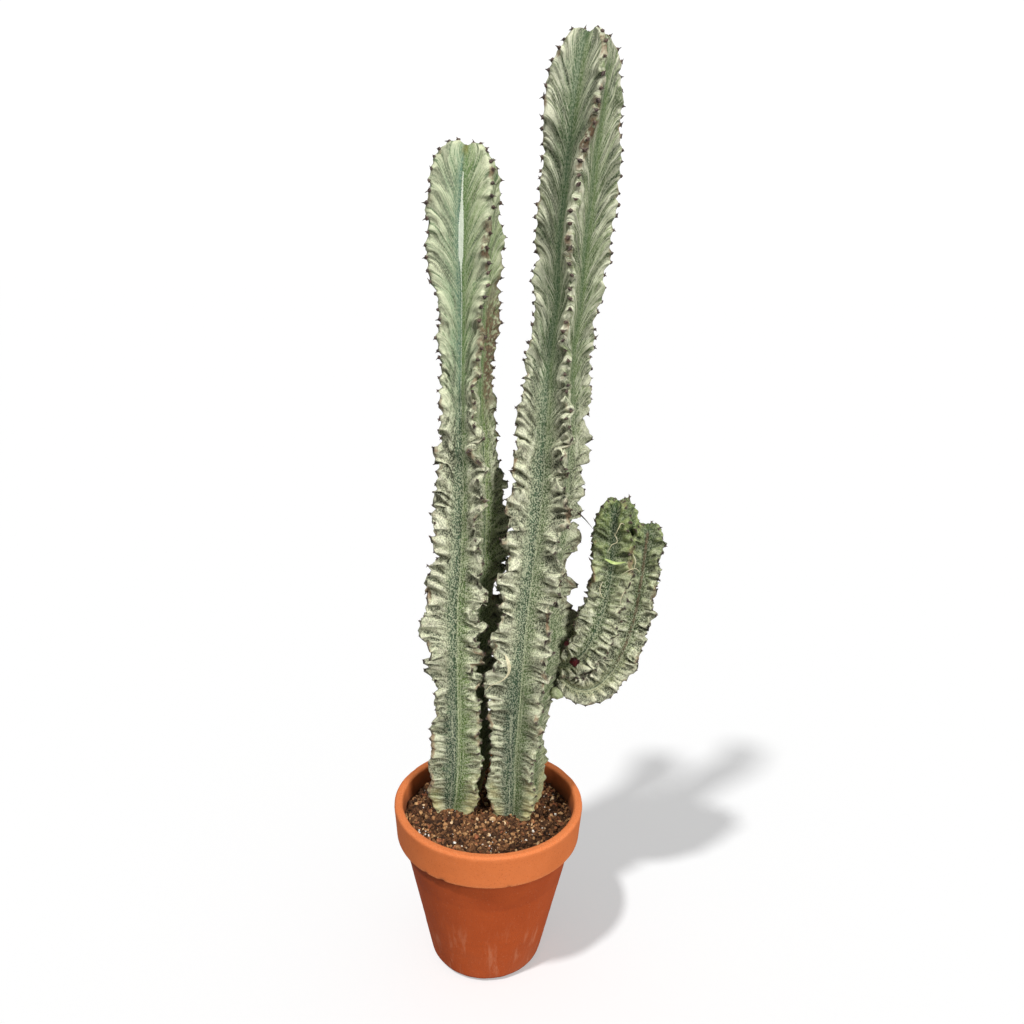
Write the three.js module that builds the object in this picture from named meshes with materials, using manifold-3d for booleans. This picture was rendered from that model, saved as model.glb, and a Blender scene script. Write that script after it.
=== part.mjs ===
// A columnar euphorbia in a terracotta pot: two tall four-ribbed stems, a forked side branch, potting
// soil with perlite and bark, a small leaf, a dried leaf curl and two beads of dried sap.
// Millimetres, +Z up. While the pieces are made the pot stands on z = 0 with its axis on x = y = 0,
// and -Y is the front. At the end the plant is moved so that the middle of its outline is the origin.
import * as THREE from 'three';
import { mergeVertices } from 'three/addons/utils/BufferGeometryUtils.js';
import Module from 'manifold-3d';

const wasm = await Module();
wasm.setup();

// ---------------------------------------------------------------- driving dimensions

const GAP = 0.3;

const POT = {
  height: 184,
  rimRadius: 100,
  lipWidth: 9,
  lipRound: 3,
  collarHeight: 37,
  collarFootRadius: 97.6,
  collarEdge: 1.5,
  bodyTopRadius: 89.9,
  footRadius: 59.3,
  footRound: 9,
  wall: 8,
  innerTaper: 1.5,
  shelfAbove: 4,
  shelfBelow: 2,
  floorThickness: 12,
  drainRadius: 11,
  segments: 56,
};

const SOIL = { top: 164, mound: 3, moundShare: 0.4, segments: 40 };

// A stem is given by stations up its axis: x, y, z, the reach of its ribs from the axis, and the turn
// of the rib cross about the axis in degrees. The last station is the growing tip, which is domed.
const RIBS = 4;
const RING_STEP = 12;
const DOME_RINGS = 6;

const LEFT_STEM = {
  stations: [
    [-36, 16, 126, 24, 32], [-36, 16, 164, 28, 34], [-34, 16, 192, 37, 38], [-33, 16, 240, 36, 40],
    [-34, 16, 295, 33, 40], [-35, 16, 350, 36, 40], [-34, 16, 404, 36, 37], [-29, 15, 446, 37, 31],
    [-26, 14, 500, 34, 25], [-25, 14, 559, 31, 16], [-27, 14, 608, 27, 18], [-28, 14, 655, 29, 25],
    [-29, 14, 700, 32, 31], [-30, 14, 744, 38, 34], [-31, 14, 787, 39, 39], [-29, 14, 836, 37, 38],
  ],
  dome: { length: 44, power: 2.3 },
  crestThickness: 7,
  furrow: 0.5,
  ruffle: { height: 4, wave: 38, fadeFrom: 380, fadeTo: 620 },
};

const CENTRE_STEM = {
  stations: [
    [28, 8, 126, 22, 30], [29, 8, 164, 27, 30], [30, 8, 192, 35, 30], [30, 8, 240, 35, 30],
    [32, 8, 295, 38, 33], [34, 8, 355, 40, 35], [38, 8, 410, 40, 34], [44, 8, 460, 40, 30],
    [49, 8, 512, 38, 27], [54, 8, 562, 36, 18], [56, 8, 610, 34, 16], [59, 8, 657, 29, 7],
    [65, 8, 702, 30, -1], [67, 8, 746, 34, -8], [70, 8, 789, 34, -6], [72, 8, 822, 33, -5],
    [71, 8, 866, 36, 18], [75, 8, 926, 33, 24],
  ],
  dome: { length: 66, power: 2.8 },
  crestThickness: 7,
  furrow: 0.5,
  ruffle: { height: 4, wave: 38, fadeFrom: 380, fadeTo: 640 },
};

const BRANCH_HEADS = [
  {
    stations: [
      [70, 32, 325, 10, 28], [84, 31, 330, 22, 28], [100, 30, 348, 28, 28], [113, 29, 380, 30, 28],
      [121, 28, 420, 29, 28], [124, 28, 465, 26, 26], [123, 28, 512, 24, 26],
    ],
    dome: { length: 30, power: 2.2 },
    crestThickness: 6,
    furrow: 0.48,
    ruffle: { height: 2, wave: 26, fadeFrom: 60, fadeTo: 200 },
  },
  {
    stations: [
      [72, 32, 314, 10, 45], [88, 30, 305, 21, 45], [107, 29, 307, 25, 45], [125, 28, 327, 25, 45],
      [138, 28, 357, 24, 45], [146, 28, 390, 23, 45], [150, 28, 430, 23, 45], [154, 28, 487, 23, 45],
    ],
    dome: { length: 20, power: 2.2 },
    crestThickness: 6,
    furrow: 0.48,
    ruffle: { height: 2, wave: 24, fadeFrom: 60, fadeTo: 200 },
  },
];

// The old side bud: a small round knob low on the rib that carries the branch.
const BUD_STUB = { centre: [70, 24, 297], radius: 5.5 };

// Beads of dried sap on the branch's base: centre and radius of each.
const SAP_BEADS = [
  { centre: [77, 14, 358], radius: 3 },
  { centre: [86, 11, 339], radius: 5 },
];

const LEAF = {
  from: [111, 10, 452], middle: [121, 7, 448.5], to: [131, 2, 452], width: 3.4, thickness: 0.9,
};

// The dried leaf curl that hangs on the centre stem, from its upper end to its lower one.
const CURL = {
  route: [[7, -23, 359], [13, -25, 354], [17, -25, 346], [16, -24, 338], [12, -23, 331]],
  width: 3,
  thickness: 1,
};

const PERLITE = { count: 12, smallest: 1.6, largest: 2.8 };
const BARK = { count: 6, length: 13, width: 8, thickness: 3, corners: 7 };

// Where loose bits may lie: between these radii of the pot, and this far from a stem's axis.
const LITTER = { innerRadius: 20, outerRadius: 80, stemClearance: 44, candidates: 140 };
const GOLDEN_TURN = Math.PI * (3 - Math.sqrt(5));

// ---------------------------------------------------------------- materials

function finish(red, green, blue, roughness) {
  const color = new THREE.Color(red, green, blue);
  return new THREE.MeshStandardMaterial({ color, roughness, metalness: 0 });
}

const terracotta = finish(0.6, 0.22, 0.08, 0.85);
const pottingSoil = finish(0.05, 0.03, 0.02, 0.95);
const stemSkin = finish(0.22, 0.3, 0.17, 0.6);
const branchSkin = finish(0.22, 0.34, 0.14, 0.6);
const freshLeaf = finish(0.28, 0.5, 0.08, 0.5);
const driedLeaf = finish(0.7, 0.66, 0.5, 0.85);
const driedSap = finish(0.09, 0.01, 0.01, 0.35);
const perlite = finish(0.82, 0.81, 0.76, 0.9);
const bark = finish(0.3, 0.13, 0.05, 0.9);

// ---------------------------------------------------------------- solids and booleans

// A closed geometry as a manifold solid: its positions alone, with shared corners merged.
function toSolid(geometry) {
  const bare = geometry.clone();
  bare.deleteAttribute('normal');
  bare.deleteAttribute('uv');
  const merged = mergeVertices(bare, 1e-4);
  return new wasm.Manifold(new wasm.Mesh({
    numProp: 3,
    vertProperties: new Float32Array(merged.attributes.position.array),
    triVerts: new Uint32Array(merged.index.array),
  }));
}

function toGeometry(solid) {
  const mesh = solid.getMesh();
  const geometry = new THREE.BufferGeometry();
  geometry.setAttribute('position', new THREE.BufferAttribute(mesh.vertProperties, 3));
  geometry.setIndex(new THREE.BufferAttribute(mesh.triVerts, 1));
  geometry.computeVertexNormals();
  return geometry;
}

// A profile of radius and height turned about +Z.
function turned(profile, segments) {
  const geometry = new THREE.LatheGeometry(profile.map(([r, z]) => new THREE.Vector2(r, z)), segments);
  return geometry.rotateX(Math.PI / 2);
}

// ---------------------------------------------------------------- ribbed stems

function smoothstep(from, to, value) {
  const t = THREE.MathUtils.clamp((value - from) / (to - from), 0, 1);
  return t * t * (3 - 2 * t);
}

// The outline of the rib cross in its own plane. Each rib gives its crest, its flank, the furrow beside
// it and the next rib's flank. shift slides each crest along its ruffle, and grow swells the outline.
function ribOutline(reach, turn, stem, shift, grow) {
  const outline = [];
  const half = Math.min(stem.crestThickness / 2, reach * 0.3);
  const furrow = reach * stem.furrow * Math.SQRT1_2;
  for (let rib = 0; rib < RIBS; rib += 1) {
    const sway = shift(rib);
    const nextSway = shift((rib + 1) % RIBS);
    const along = (reach + furrow) / 2;
    const across = (half + furrow) / 2;
    const corner = [
      [reach + grow, -half - grow + sway],
      [reach + grow, half + grow + sway],
      [along + grow, across + grow + sway / 2],
      [furrow + grow, furrow + grow],
      [across + grow - nextSway / 2, along + grow],
    ];
    const angle = THREE.MathUtils.degToRad(turn) + rib * Math.PI / 2;
    for (const [a, b] of corner) {
      outline.push([a * Math.cos(angle) - b * Math.sin(angle), a * Math.sin(angle) + b * Math.cos(angle)]);
    }
  }
  return outline;
}

function stemGeometry(stem, grow = 0) {
  const axis = new THREE.CatmullRomCurve3(
    stem.stations.map(([x, y, z]) => new THREE.Vector3(x, y, z)), false, 'catmullrom');
  const traits = new THREE.CatmullRomCurve3(
    stem.stations.map(([, , , reach, turn]) => new THREE.Vector3(reach, turn, 0)), false, 'catmullrom');
  axis.arcLengthDivisions = 400;
  const length = axis.getLength();
  const domeStart = length - stem.dome.length;
  const bodyRings = Math.round(domeStart / RING_STEP);

  // Distances up the axis: even steps to the dome, then closer ones towards the tip.
  const distances = [];
  for (let i = 0; i <= bodyRings; i += 1) distances.push(domeStart * i / bodyRings);
  for (let i = 1; i <= DOME_RINGS; i += 1) {
    distances.push(domeStart + stem.dome.length * Math.sin(i / (DOME_RINGS + 0.6) * Math.PI / 2));
  }

  const front = new THREE.Vector3(0, 1, 0);
  const positions = [];
  const ringPoint = (centre, side, depth, [a, b]) => {
    const point = centre.clone().addScaledVector(side, a).addScaledVector(depth, b);
    positions.push(point.x, point.y, point.z);
  };
  for (const distance of distances) {
    const t = axis.getUtoTmapping(distance / length);
    const centre = axis.getPoint(t);
    const along = axis.getTangent(t);
    const depth = front.clone().addScaledVector(along, -front.dot(along)).normalize();
    const side = new THREE.Vector3().crossVectors(depth, along);
    const { x: reach, y: turn } = traits.getPoint(t);
    const inDome = Math.max(0, (distance - domeStart) / stem.dome.length);
    const dome = (1 - inDome ** stem.dome.power) ** (1 / stem.dome.power);
    const fade = 1 - smoothstep(stem.ruffle.fadeFrom, stem.ruffle.fadeTo, distance);
    const height = stem.ruffle.height * (0.25 + 0.75 * fade) * dome;
    const shift = (rib) => height * Math.sin(2 * Math.PI * distance / stem.ruffle.wave + rib * 1.7);
    for (const point of ribOutline(reach * dome, turn, stem, shift, grow)) {
      ringPoint(centre, side, depth, point);
    }
  }

  const perRing = RIBS * 5;
  const rings = distances.length;
  const foot = positions.length / 3;
  const start = axis.getPoint(0);
  const startWay = axis.getTangent(0);
  positions.push(start.x - startWay.x * grow, start.y - startWay.y * grow, start.z - startWay.z * grow);
  const tip = axis.getPoint(1);
  const tipWay = axis.getTangent(1);
  positions.push(tip.x + tipWay.x * grow, tip.y + tipWay.y * grow, tip.z + tipWay.z * grow);

  const index = [];
  for (let i = 0; i < perRing; i += 1) {
    const next = (i + 1) % perRing;
    for (let ring = 0; ring < rings - 1; ring += 1) {
      const low = ring * perRing;
      const high = low + perRing;
      index.push(low + i, low + next, high + next, low + i, high + next, high + i);
    }
    const last = (rings - 1) * perRing;
    index.push(foot, next, i);
    index.push(foot + 1, last + i, last + next);
  }

  const geometry = new THREE.BufferGeometry();
  geometry.setAttribute('position', new THREE.Float32BufferAttribute(positions, 3));
  geometry.setIndex(index);
  return geometry;
}

// ---------------------------------------------------------------- small solids

function ball(centre, radius, detail = 2) {
  return new THREE.IcosahedronGeometry(radius, detail).translate(...centre);
}

// A thin strip with a rounded section that follows a smooth line through the points.
function strip(points, width, thickness, steps) {
  const line = new THREE.CatmullRomCurve3(points.map((point) => new THREE.Vector3(...point)));
  const section = new THREE.Shape();
  section.absellipse(0, 0, thickness / 2, width / 2, 0, 2 * Math.PI);
  return new THREE.ExtrudeGeometry(section, { steps, extrudePath: line, curveSegments: 4 });
}

// ---------------------------------------------------------------- pot and soil

function potGeometry() {
  const inner = POT.rimRadius - POT.lipWidth;
  const collarFoot = POT.height - POT.collarHeight;
  const innerTop = POT.bodyTopRadius - POT.wall;
  const innerFoot = POT.footRadius - POT.wall;
  const outer = [];
  for (let i = 0; i <= 3; i += 1) {
    const angle = i / 3 * Math.PI / 2;
    const r = POT.footRadius - POT.footRound * (1 - Math.sin(angle));
    outer.push([r, POT.footRound * (1 - Math.cos(angle))]);
  }
  const lip = [];
  for (let i = 0; i <= 4; i += 1) {
    const angle = i / 4 * Math.PI;
    const across = i < 2.5 ? POT.rimRadius - POT.lipRound : inner + POT.lipRound;
    lip.push([across + POT.lipRound * Math.cos(angle), POT.height - POT.lipRound * (1 - Math.sin(angle))]);
  }
  const profile = [
    [POT.drainRadius, 0],
    ...outer,
    [POT.bodyTopRadius, collarFoot],
    [POT.collarFootRadius - POT.collarEdge, collarFoot],
    [POT.collarFootRadius, collarFoot + POT.collarEdge],
    ...lip,
    [inner - POT.innerTaper, collarFoot + POT.shelfAbove],
    [innerTop, collarFoot - POT.shelfBelow],
    [innerFoot, POT.floorThickness],
    [POT.drainRadius, POT.floorThickness],
    [POT.drainRadius, 0],
  ];
  return turned(profile, POT.segments);
}

// The soil fills the pot to SOIL.top, higher in the middle, with a socket around each buried stem foot.
function soilGeometry(feet) {
  const collarFoot = POT.height - POT.collarHeight;
  const inner = POT.rimRadius - POT.lipWidth;
  const innerTop = POT.bodyTopRadius - POT.wall;
  const innerFoot = POT.footRadius - POT.wall;
  const profile = [
    [0, POT.floorThickness + GAP],
    [innerFoot - 2 * GAP, POT.floorThickness + GAP],
    [innerTop - 2 * GAP, collarFoot - POT.shelfBelow],
    [inner - POT.innerTaper - 2 * GAP, collarFoot + POT.shelfAbove],
    ...[...SURFACE].reverse(),
  ];
  let solid = toSolid(turned(profile, SOIL.segments));
  for (const foot of feet) solid = solid.subtract(toSolid(stemGeometry(foot, GAP)));
  return toGeometry(solid);
}

// ---------------------------------------------------------------- litter on the soil

const SURFACE = [
  [0, SOIL.top + SOIL.mound],
  [(POT.rimRadius - POT.lipWidth) * SOIL.moundShare, SOIL.top + SOIL.mound],
  [POT.rimRadius - POT.lipWidth - POT.innerTaper - 2 * GAP, SOIL.top],
];

function soilHeight(radius) {
  const [, [flat, high], [edge, low]] = SURFACE;
  return high - (high - low) * THREE.MathUtils.clamp((radius - flat) / (edge - flat), 0, 1);
}

// Places along a golden-angle spiral that lie clear of both stems: x, y and the angle of each.
function spiralPlaces(count) {
  const places = [];
  for (let i = 0; i < LITTER.candidates && places.length < count; i += 1) {
    const share = Math.sqrt(((i * 13) % LITTER.candidates + 0.5) / LITTER.candidates);
    const radius = THREE.MathUtils.lerp(LITTER.innerRadius, LITTER.outerRadius, share);
    const angle = i * GOLDEN_TURN - Math.PI / 2;
    const x = radius * Math.cos(angle);
    const y = radius * Math.sin(angle);
    const clearOf = ({ stations: [[stemX, stemY]] }) => {
      return Math.hypot(x - stemX, y - stemY) > LITTER.stemClearance;
    };
    const apart = places.every(([u, v]) => Math.hypot(x - u, y - v) > BARK.length);
    if (clearOf(LEFT_STEM) && clearOf(CENTRE_STEM) && apart) places.push([x, y, angle]);
  }
  return places;
}

// A flat splinter of bark with uneven corners, lying on z = 0.
function chipGeometry(seed) {
  const outline = [];
  for (let i = 0; i < BARK.corners; i += 1) {
    const angle = i / BARK.corners * 2 * Math.PI;
    const reach = 0.78 + 0.22 * Math.sin(seed * 2.3 + i * 4.1);
    outline.push(new THREE.Vector2(
      BARK.length / 2 * reach * Math.cos(angle), BARK.width / 2 * reach * Math.sin(angle)));
  }
  return new THREE.ExtrudeGeometry(new THREE.Shape(outline), { depth: BARK.thickness, bevelEnabled: false });
}

// ---------------------------------------------------------------- the plant

const plant = new THREE.Group();

function add(name, geometry, material) {
  const mesh = new THREE.Mesh(geometry, material);
  mesh.name = name;
  plant.add(mesh);
  return mesh;
}

add('pot', potGeometry(), terracotta);
add('soil', soilGeometry([LEFT_STEM, CENTRE_STEM]), pottingSoil);
add('left_stem', stemGeometry(LEFT_STEM), stemSkin);

const budStub = ball(BUD_STUB.centre, BUD_STUB.radius, 1);
add('centre_stem', toGeometry(toSolid(stemGeometry(CENTRE_STEM)).add(toSolid(budStub))), stemSkin);

// The branch's two heads grow into one body, which stops short of the stem and of the sap beads.
let branch = toSolid(stemGeometry(BRANCH_HEADS[0])).add(toSolid(stemGeometry(BRANCH_HEADS[1])));
branch = branch.subtract(toSolid(stemGeometry(CENTRE_STEM, GAP)));
branch = branch.subtract(toSolid(ball(BUD_STUB.centre, BUD_STUB.radius + GAP, 1)));
for (const { centre, radius } of SAP_BEADS) {
  branch = branch.subtract(toSolid(ball(centre, radius + GAP, 1)));
}
add('branch_stem', toGeometry(branch), branchSkin);

SAP_BEADS.forEach(({ centre, radius }, i) => add(`sap_bead_${i + 1}`, ball(centre, radius, 1), driedSap));
add('branch_leaf', strip([LEAF.from, LEAF.middle, LEAF.to], LEAF.width, LEAF.thickness, 8), freshLeaf);
add('dried_leaf_curl', strip(CURL.route, CURL.width, CURL.thickness, 12), driedLeaf);

// Grains and chips lie on the soil along a golden-angle spiral, where the stems leave room for them.
const scatter = spiralPlaces(PERLITE.count + BARK.count);
scatter.forEach(([x, y, angle], i) => {
  if (i % 3 === 2) {
    const chip = chipGeometry(i).rotateZ(angle * 3);
    const place = soilHeight(Math.hypot(x, y) - BARK.length / 2) + GAP;
    add(`bark_chip_${(i + 1) / 3}`, chip.translate(x, y, place), bark);
    return;
  }
  const size = THREE.MathUtils.lerp(PERLITE.smallest, PERLITE.largest, ((i * 5) % 7) / 6);
  const place = [x, y, soilHeight(Math.hypot(x, y) - size) + GAP + size];
  add(`perlite_grain_${i + 1 - Math.floor(i / 3)}`, ball(place, size, 0), perlite);
});

// The origin is under the middle of the whole plant's outline, on the ground.
const middle = new THREE.Box3().setFromObject(plant).getCenter(new THREE.Vector3());
plant.position.set(-middle.x, -middle.y, 0);

export default plant;
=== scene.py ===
# %% [markdown]
# # A potted euphorbia
# Two tall stems with four ruffled ribs each, and a forked side branch, stand in a round clay pot of
# potting mix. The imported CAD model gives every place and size, and this script gives the surface: the
# wrinkled skin, the teeth and spines, the crumbly soil and the fired clay. The model is loaded first,
# because everything after it is measured from its boxes.

import math
from types import SimpleNamespace

import bmesh
import bpy
import numpy as np
from mathutils import Matrix, Vector


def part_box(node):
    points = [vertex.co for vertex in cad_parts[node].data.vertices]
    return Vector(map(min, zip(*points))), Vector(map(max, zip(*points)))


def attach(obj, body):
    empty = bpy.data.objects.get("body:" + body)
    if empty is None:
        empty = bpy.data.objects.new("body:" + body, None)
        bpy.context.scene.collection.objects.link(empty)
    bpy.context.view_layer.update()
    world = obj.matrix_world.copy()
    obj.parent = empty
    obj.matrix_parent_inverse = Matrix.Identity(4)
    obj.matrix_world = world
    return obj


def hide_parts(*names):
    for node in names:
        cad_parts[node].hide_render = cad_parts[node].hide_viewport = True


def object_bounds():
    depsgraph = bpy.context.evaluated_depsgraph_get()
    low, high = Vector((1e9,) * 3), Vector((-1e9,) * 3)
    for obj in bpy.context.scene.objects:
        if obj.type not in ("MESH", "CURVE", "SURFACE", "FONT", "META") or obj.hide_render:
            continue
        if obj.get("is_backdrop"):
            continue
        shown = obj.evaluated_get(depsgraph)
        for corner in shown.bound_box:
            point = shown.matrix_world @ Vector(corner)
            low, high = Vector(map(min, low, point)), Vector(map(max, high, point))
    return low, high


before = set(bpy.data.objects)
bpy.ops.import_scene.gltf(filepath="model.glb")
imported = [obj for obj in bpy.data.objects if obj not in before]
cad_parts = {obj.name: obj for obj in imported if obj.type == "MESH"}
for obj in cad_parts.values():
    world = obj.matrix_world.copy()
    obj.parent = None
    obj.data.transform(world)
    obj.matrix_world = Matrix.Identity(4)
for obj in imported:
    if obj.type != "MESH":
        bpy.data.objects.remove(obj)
cad_low, cad_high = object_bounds()
print("CAD box in metres:", [round(v, 3) for v in (*cad_low, *cad_high)])

# %% [markdown]
# ## Units and places
# A plant is easier to describe in millimetres from the middle of its pot than in metres from the corner
# of a room. So every shape below is worked out in millimetres from the pot's axis, and one function
# turns that into the model's metres. The alternative, metres everywhere, gives many zeros.

# %% Millimetres from the pot's axis
MM = 0.001
pot_low, pot_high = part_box("pot")
POT_AXIS = np.array([(pot_low.x + pot_high.x) / 2, (pot_low.y + pot_high.y) / 2, 0.0]) / MM
POT_HEIGHT = pot_high.z / MM
RIM_RADIUS = (pot_high.x - pot_low.x) / 2 / MM
SOIL_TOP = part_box("soil")[1].z / MM


def to_metres(points):
    """Points in millimetres from the pot's axis as metres in the model's frame."""
    return (np.asarray(points, float) + POT_AXIS) * MM


def from_frame(corner):
    """A corner of the model in metres as millimetres from the pot's axis."""
    return np.array(corner) / MM - POT_AXIS


print(f"pot {2 * RIM_RADIUS:.0f} mm across and {POT_HEIGHT:.0f} mm tall, soil up to {SOIL_TOP:.0f} mm")

# %% [markdown]
# ## Camera
# The viewer stands close and looks down a little, so the pot's rim shows as an open ellipse while the
# stem tips are seen almost level. A wide lens close by gives that, and a long lens from far away would
# flatten it. The camera is turned about its own axis by a degree and a half, as a hand holds it.

# %% Place the camera
CAMERA_SIDE, CAMERA_BACK, CAMERA_HEIGHT = 17.4, 796.0, 721.0
CAMERA_PITCH = math.radians(15.44)
CAMERA_ROLL = math.radians(1.41)
LENS = 29.88

ahead = Vector((0, math.cos(CAMERA_PITCH), -math.sin(CAMERA_PITCH)))
level_up = Vector((0, math.sin(CAMERA_PITCH), math.cos(CAMERA_PITCH)))
level_right = Vector((1, 0, 0))
view_right = math.cos(CAMERA_ROLL) * level_right + math.sin(CAMERA_ROLL) * level_up
view_up = math.cos(CAMERA_ROLL) * level_up - math.sin(CAMERA_ROLL) * level_right

camera_data = bpy.data.cameras.new("camera")
camera_data.lens = LENS
camera_data.sensor_width = 36.0
camera_data.clip_start, camera_data.clip_end = 0.01, 100.0
camera = bpy.data.objects.new("camera", camera_data)
turn = Matrix((view_right, view_up, -ahead)).transposed()
camera.matrix_world = turn.to_4x4()
camera.location = to_metres((CAMERA_SIDE, -CAMERA_BACK, CAMERA_HEIGHT))
bpy.context.collection.objects.link(camera)
bpy.context.scene.camera = camera
print("camera at", [round(v, 3) for v in camera.location])

# %% [markdown]
# ## Small tools for meshes
# Most pieces here are grown from formulas, so they start as arrays of points. These helpers turn arrays
# into Blender meshes, store numbers on the points for the materials to read, and make the few small
# solids that are scattered in numbers. Arrays are used rather than bmesh calls because the skins have
# tens of thousands of points.


# %% Mesh helpers
def make_piece(name, points, faces, material, smooth=True):
    """A mesh object from points in millimetres, riding on the root body."""
    mesh = bpy.data.meshes.new(name)
    mesh.from_pydata(to_metres(points).tolist(), [], [tuple(face) for face in faces])
    mesh.polygons.foreach_set("use_smooth", np.full(len(mesh.polygons), smooth))
    mesh.materials.append(material)
    mesh.update()
    piece = bpy.data.objects.new(name, mesh)
    bpy.context.collection.objects.link(piece)
    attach(piece, "root")
    return piece


def store(piece, name, values):
    """One number per point, for the materials' Attribute nodes."""
    layer = piece.data.attributes.new(name, "FLOAT", "POINT")
    layer.data.foreach_set("value", np.asarray(values, np.float32).ravel())


class Pile:
    """Points and faces of many small solids that become one piece."""

    def __init__(self):
        self.points, self.faces, self.tones, self.count = [], [], [], 0

    def add(self, points, faces, tone=0.0):
        self.points.append(points)
        self.faces.extend(tuple(i + self.count for i in face) for face in faces)
        self.tones.append(np.full(len(points), tone))
        self.count += len(points)

    def finish(self, name, material, smooth=True):
        piece = make_piece(name, np.vstack(self.points), self.faces, material, smooth)
        store(piece, "tone", np.concatenate(self.tones))
        print(f"{name}: {len(self.tones)} solids, {len(piece.data.polygons)} faces")
        return piece


def unit(vector):
    """The same way with a length of 1."""
    return vector / np.linalg.norm(vector, axis=-1, keepdims=True)


def random_turn(rng):
    """A random turn, sometimes mirrored too, as a 3 by 3 array."""
    return np.linalg.qr(rng.normal(size=(3, 3)))[0]


def ring_faces(rings, sides):
    """Quads that join each ring of points to the next one."""
    index = np.arange(rings * sides).reshape(rings, sides)
    beside = np.roll(index, -1, axis=1)
    return np.stack((index[:-1], beside[:-1], beside[1:], index[1:]), axis=-1).reshape(-1, 4).tolist()


def ball_shape(subdivisions):
    """The points and faces of a unit icosphere."""
    form = bmesh.new()
    bmesh.ops.create_icosphere(form, subdivisions=subdivisions, radius=1.0)
    points = np.array([v.co[:] for v in form.verts])
    faces = [tuple(v.index for v in f.verts) for f in form.faces]
    form.free()
    return points, faces


# %% [markdown]
# ## Smooth noise
# Nothing that grows is even. Every ruffle, wrinkle and crumb below is pushed about by the same kind of
# noise: random values on a grid, blended smoothly between the grid's corners. Blender has noise of its
# own for materials, but the shapes need numbers in Python, and a seed keeps them alike each run.


# %% Noise on a grid
NOISE_CELLS = 97


def wander(x, y, seed):
    """Smooth noise between -1 and 1 at x, y, in cells of the noise grid."""
    table = np.random.default_rng(seed).uniform(-1, 1, (NOISE_CELLS, NOISE_CELLS))
    x, y = np.broadcast_arrays(np.asarray(x, float), np.asarray(y, float))
    left, low = np.floor(x).astype(int), np.floor(y).astype(int)
    u, v = x - left, y - low
    u, v = u * u * (3 - 2 * u), v * v * (3 - 2 * v)
    left, low = left % NOISE_CELLS, low % NOISE_CELLS
    right, high = (left + 1) % NOISE_CELLS, (low + 1) % NOISE_CELLS
    bottom = table[left, low] * (1 - u) + table[right, low] * u
    top = table[left, high] * (1 - u) + table[right, high] * u
    return bottom * (1 - v) + top * v


def ease(low, high, value):
    """0 below low, 1 above high, and smooth between."""
    t = np.clip((np.asarray(value, float) - low) / (high - low), 0, 1)
    return t * t * (3 - 2 * t)


print("noise sample:", round(float(wander(1.5, 2.5, 7)), 3))

# %% [markdown]
# ## Shader tools
# Each finish below is a tree of nodes. Wiring nodes one call at a time would fill pages, so a small
# class adds a node, sets its sockets and hands back its output. An effect that several finishes share
# becomes a node group with named inputs and outputs, made once and placed with its own values.


# %% Node helpers
def paint(red, green, blue):
    """A colour as it looks on a screen, 0 to 255, as the linear colour that a shader takes."""
    seen = np.array((red, green, blue)) / 255
    linear = np.where(seen > 0.04045, ((seen + 0.055) / 1.055) ** 2.4, seen / 12.92)
    return (*linear.tolist(), 1.0)


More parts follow.
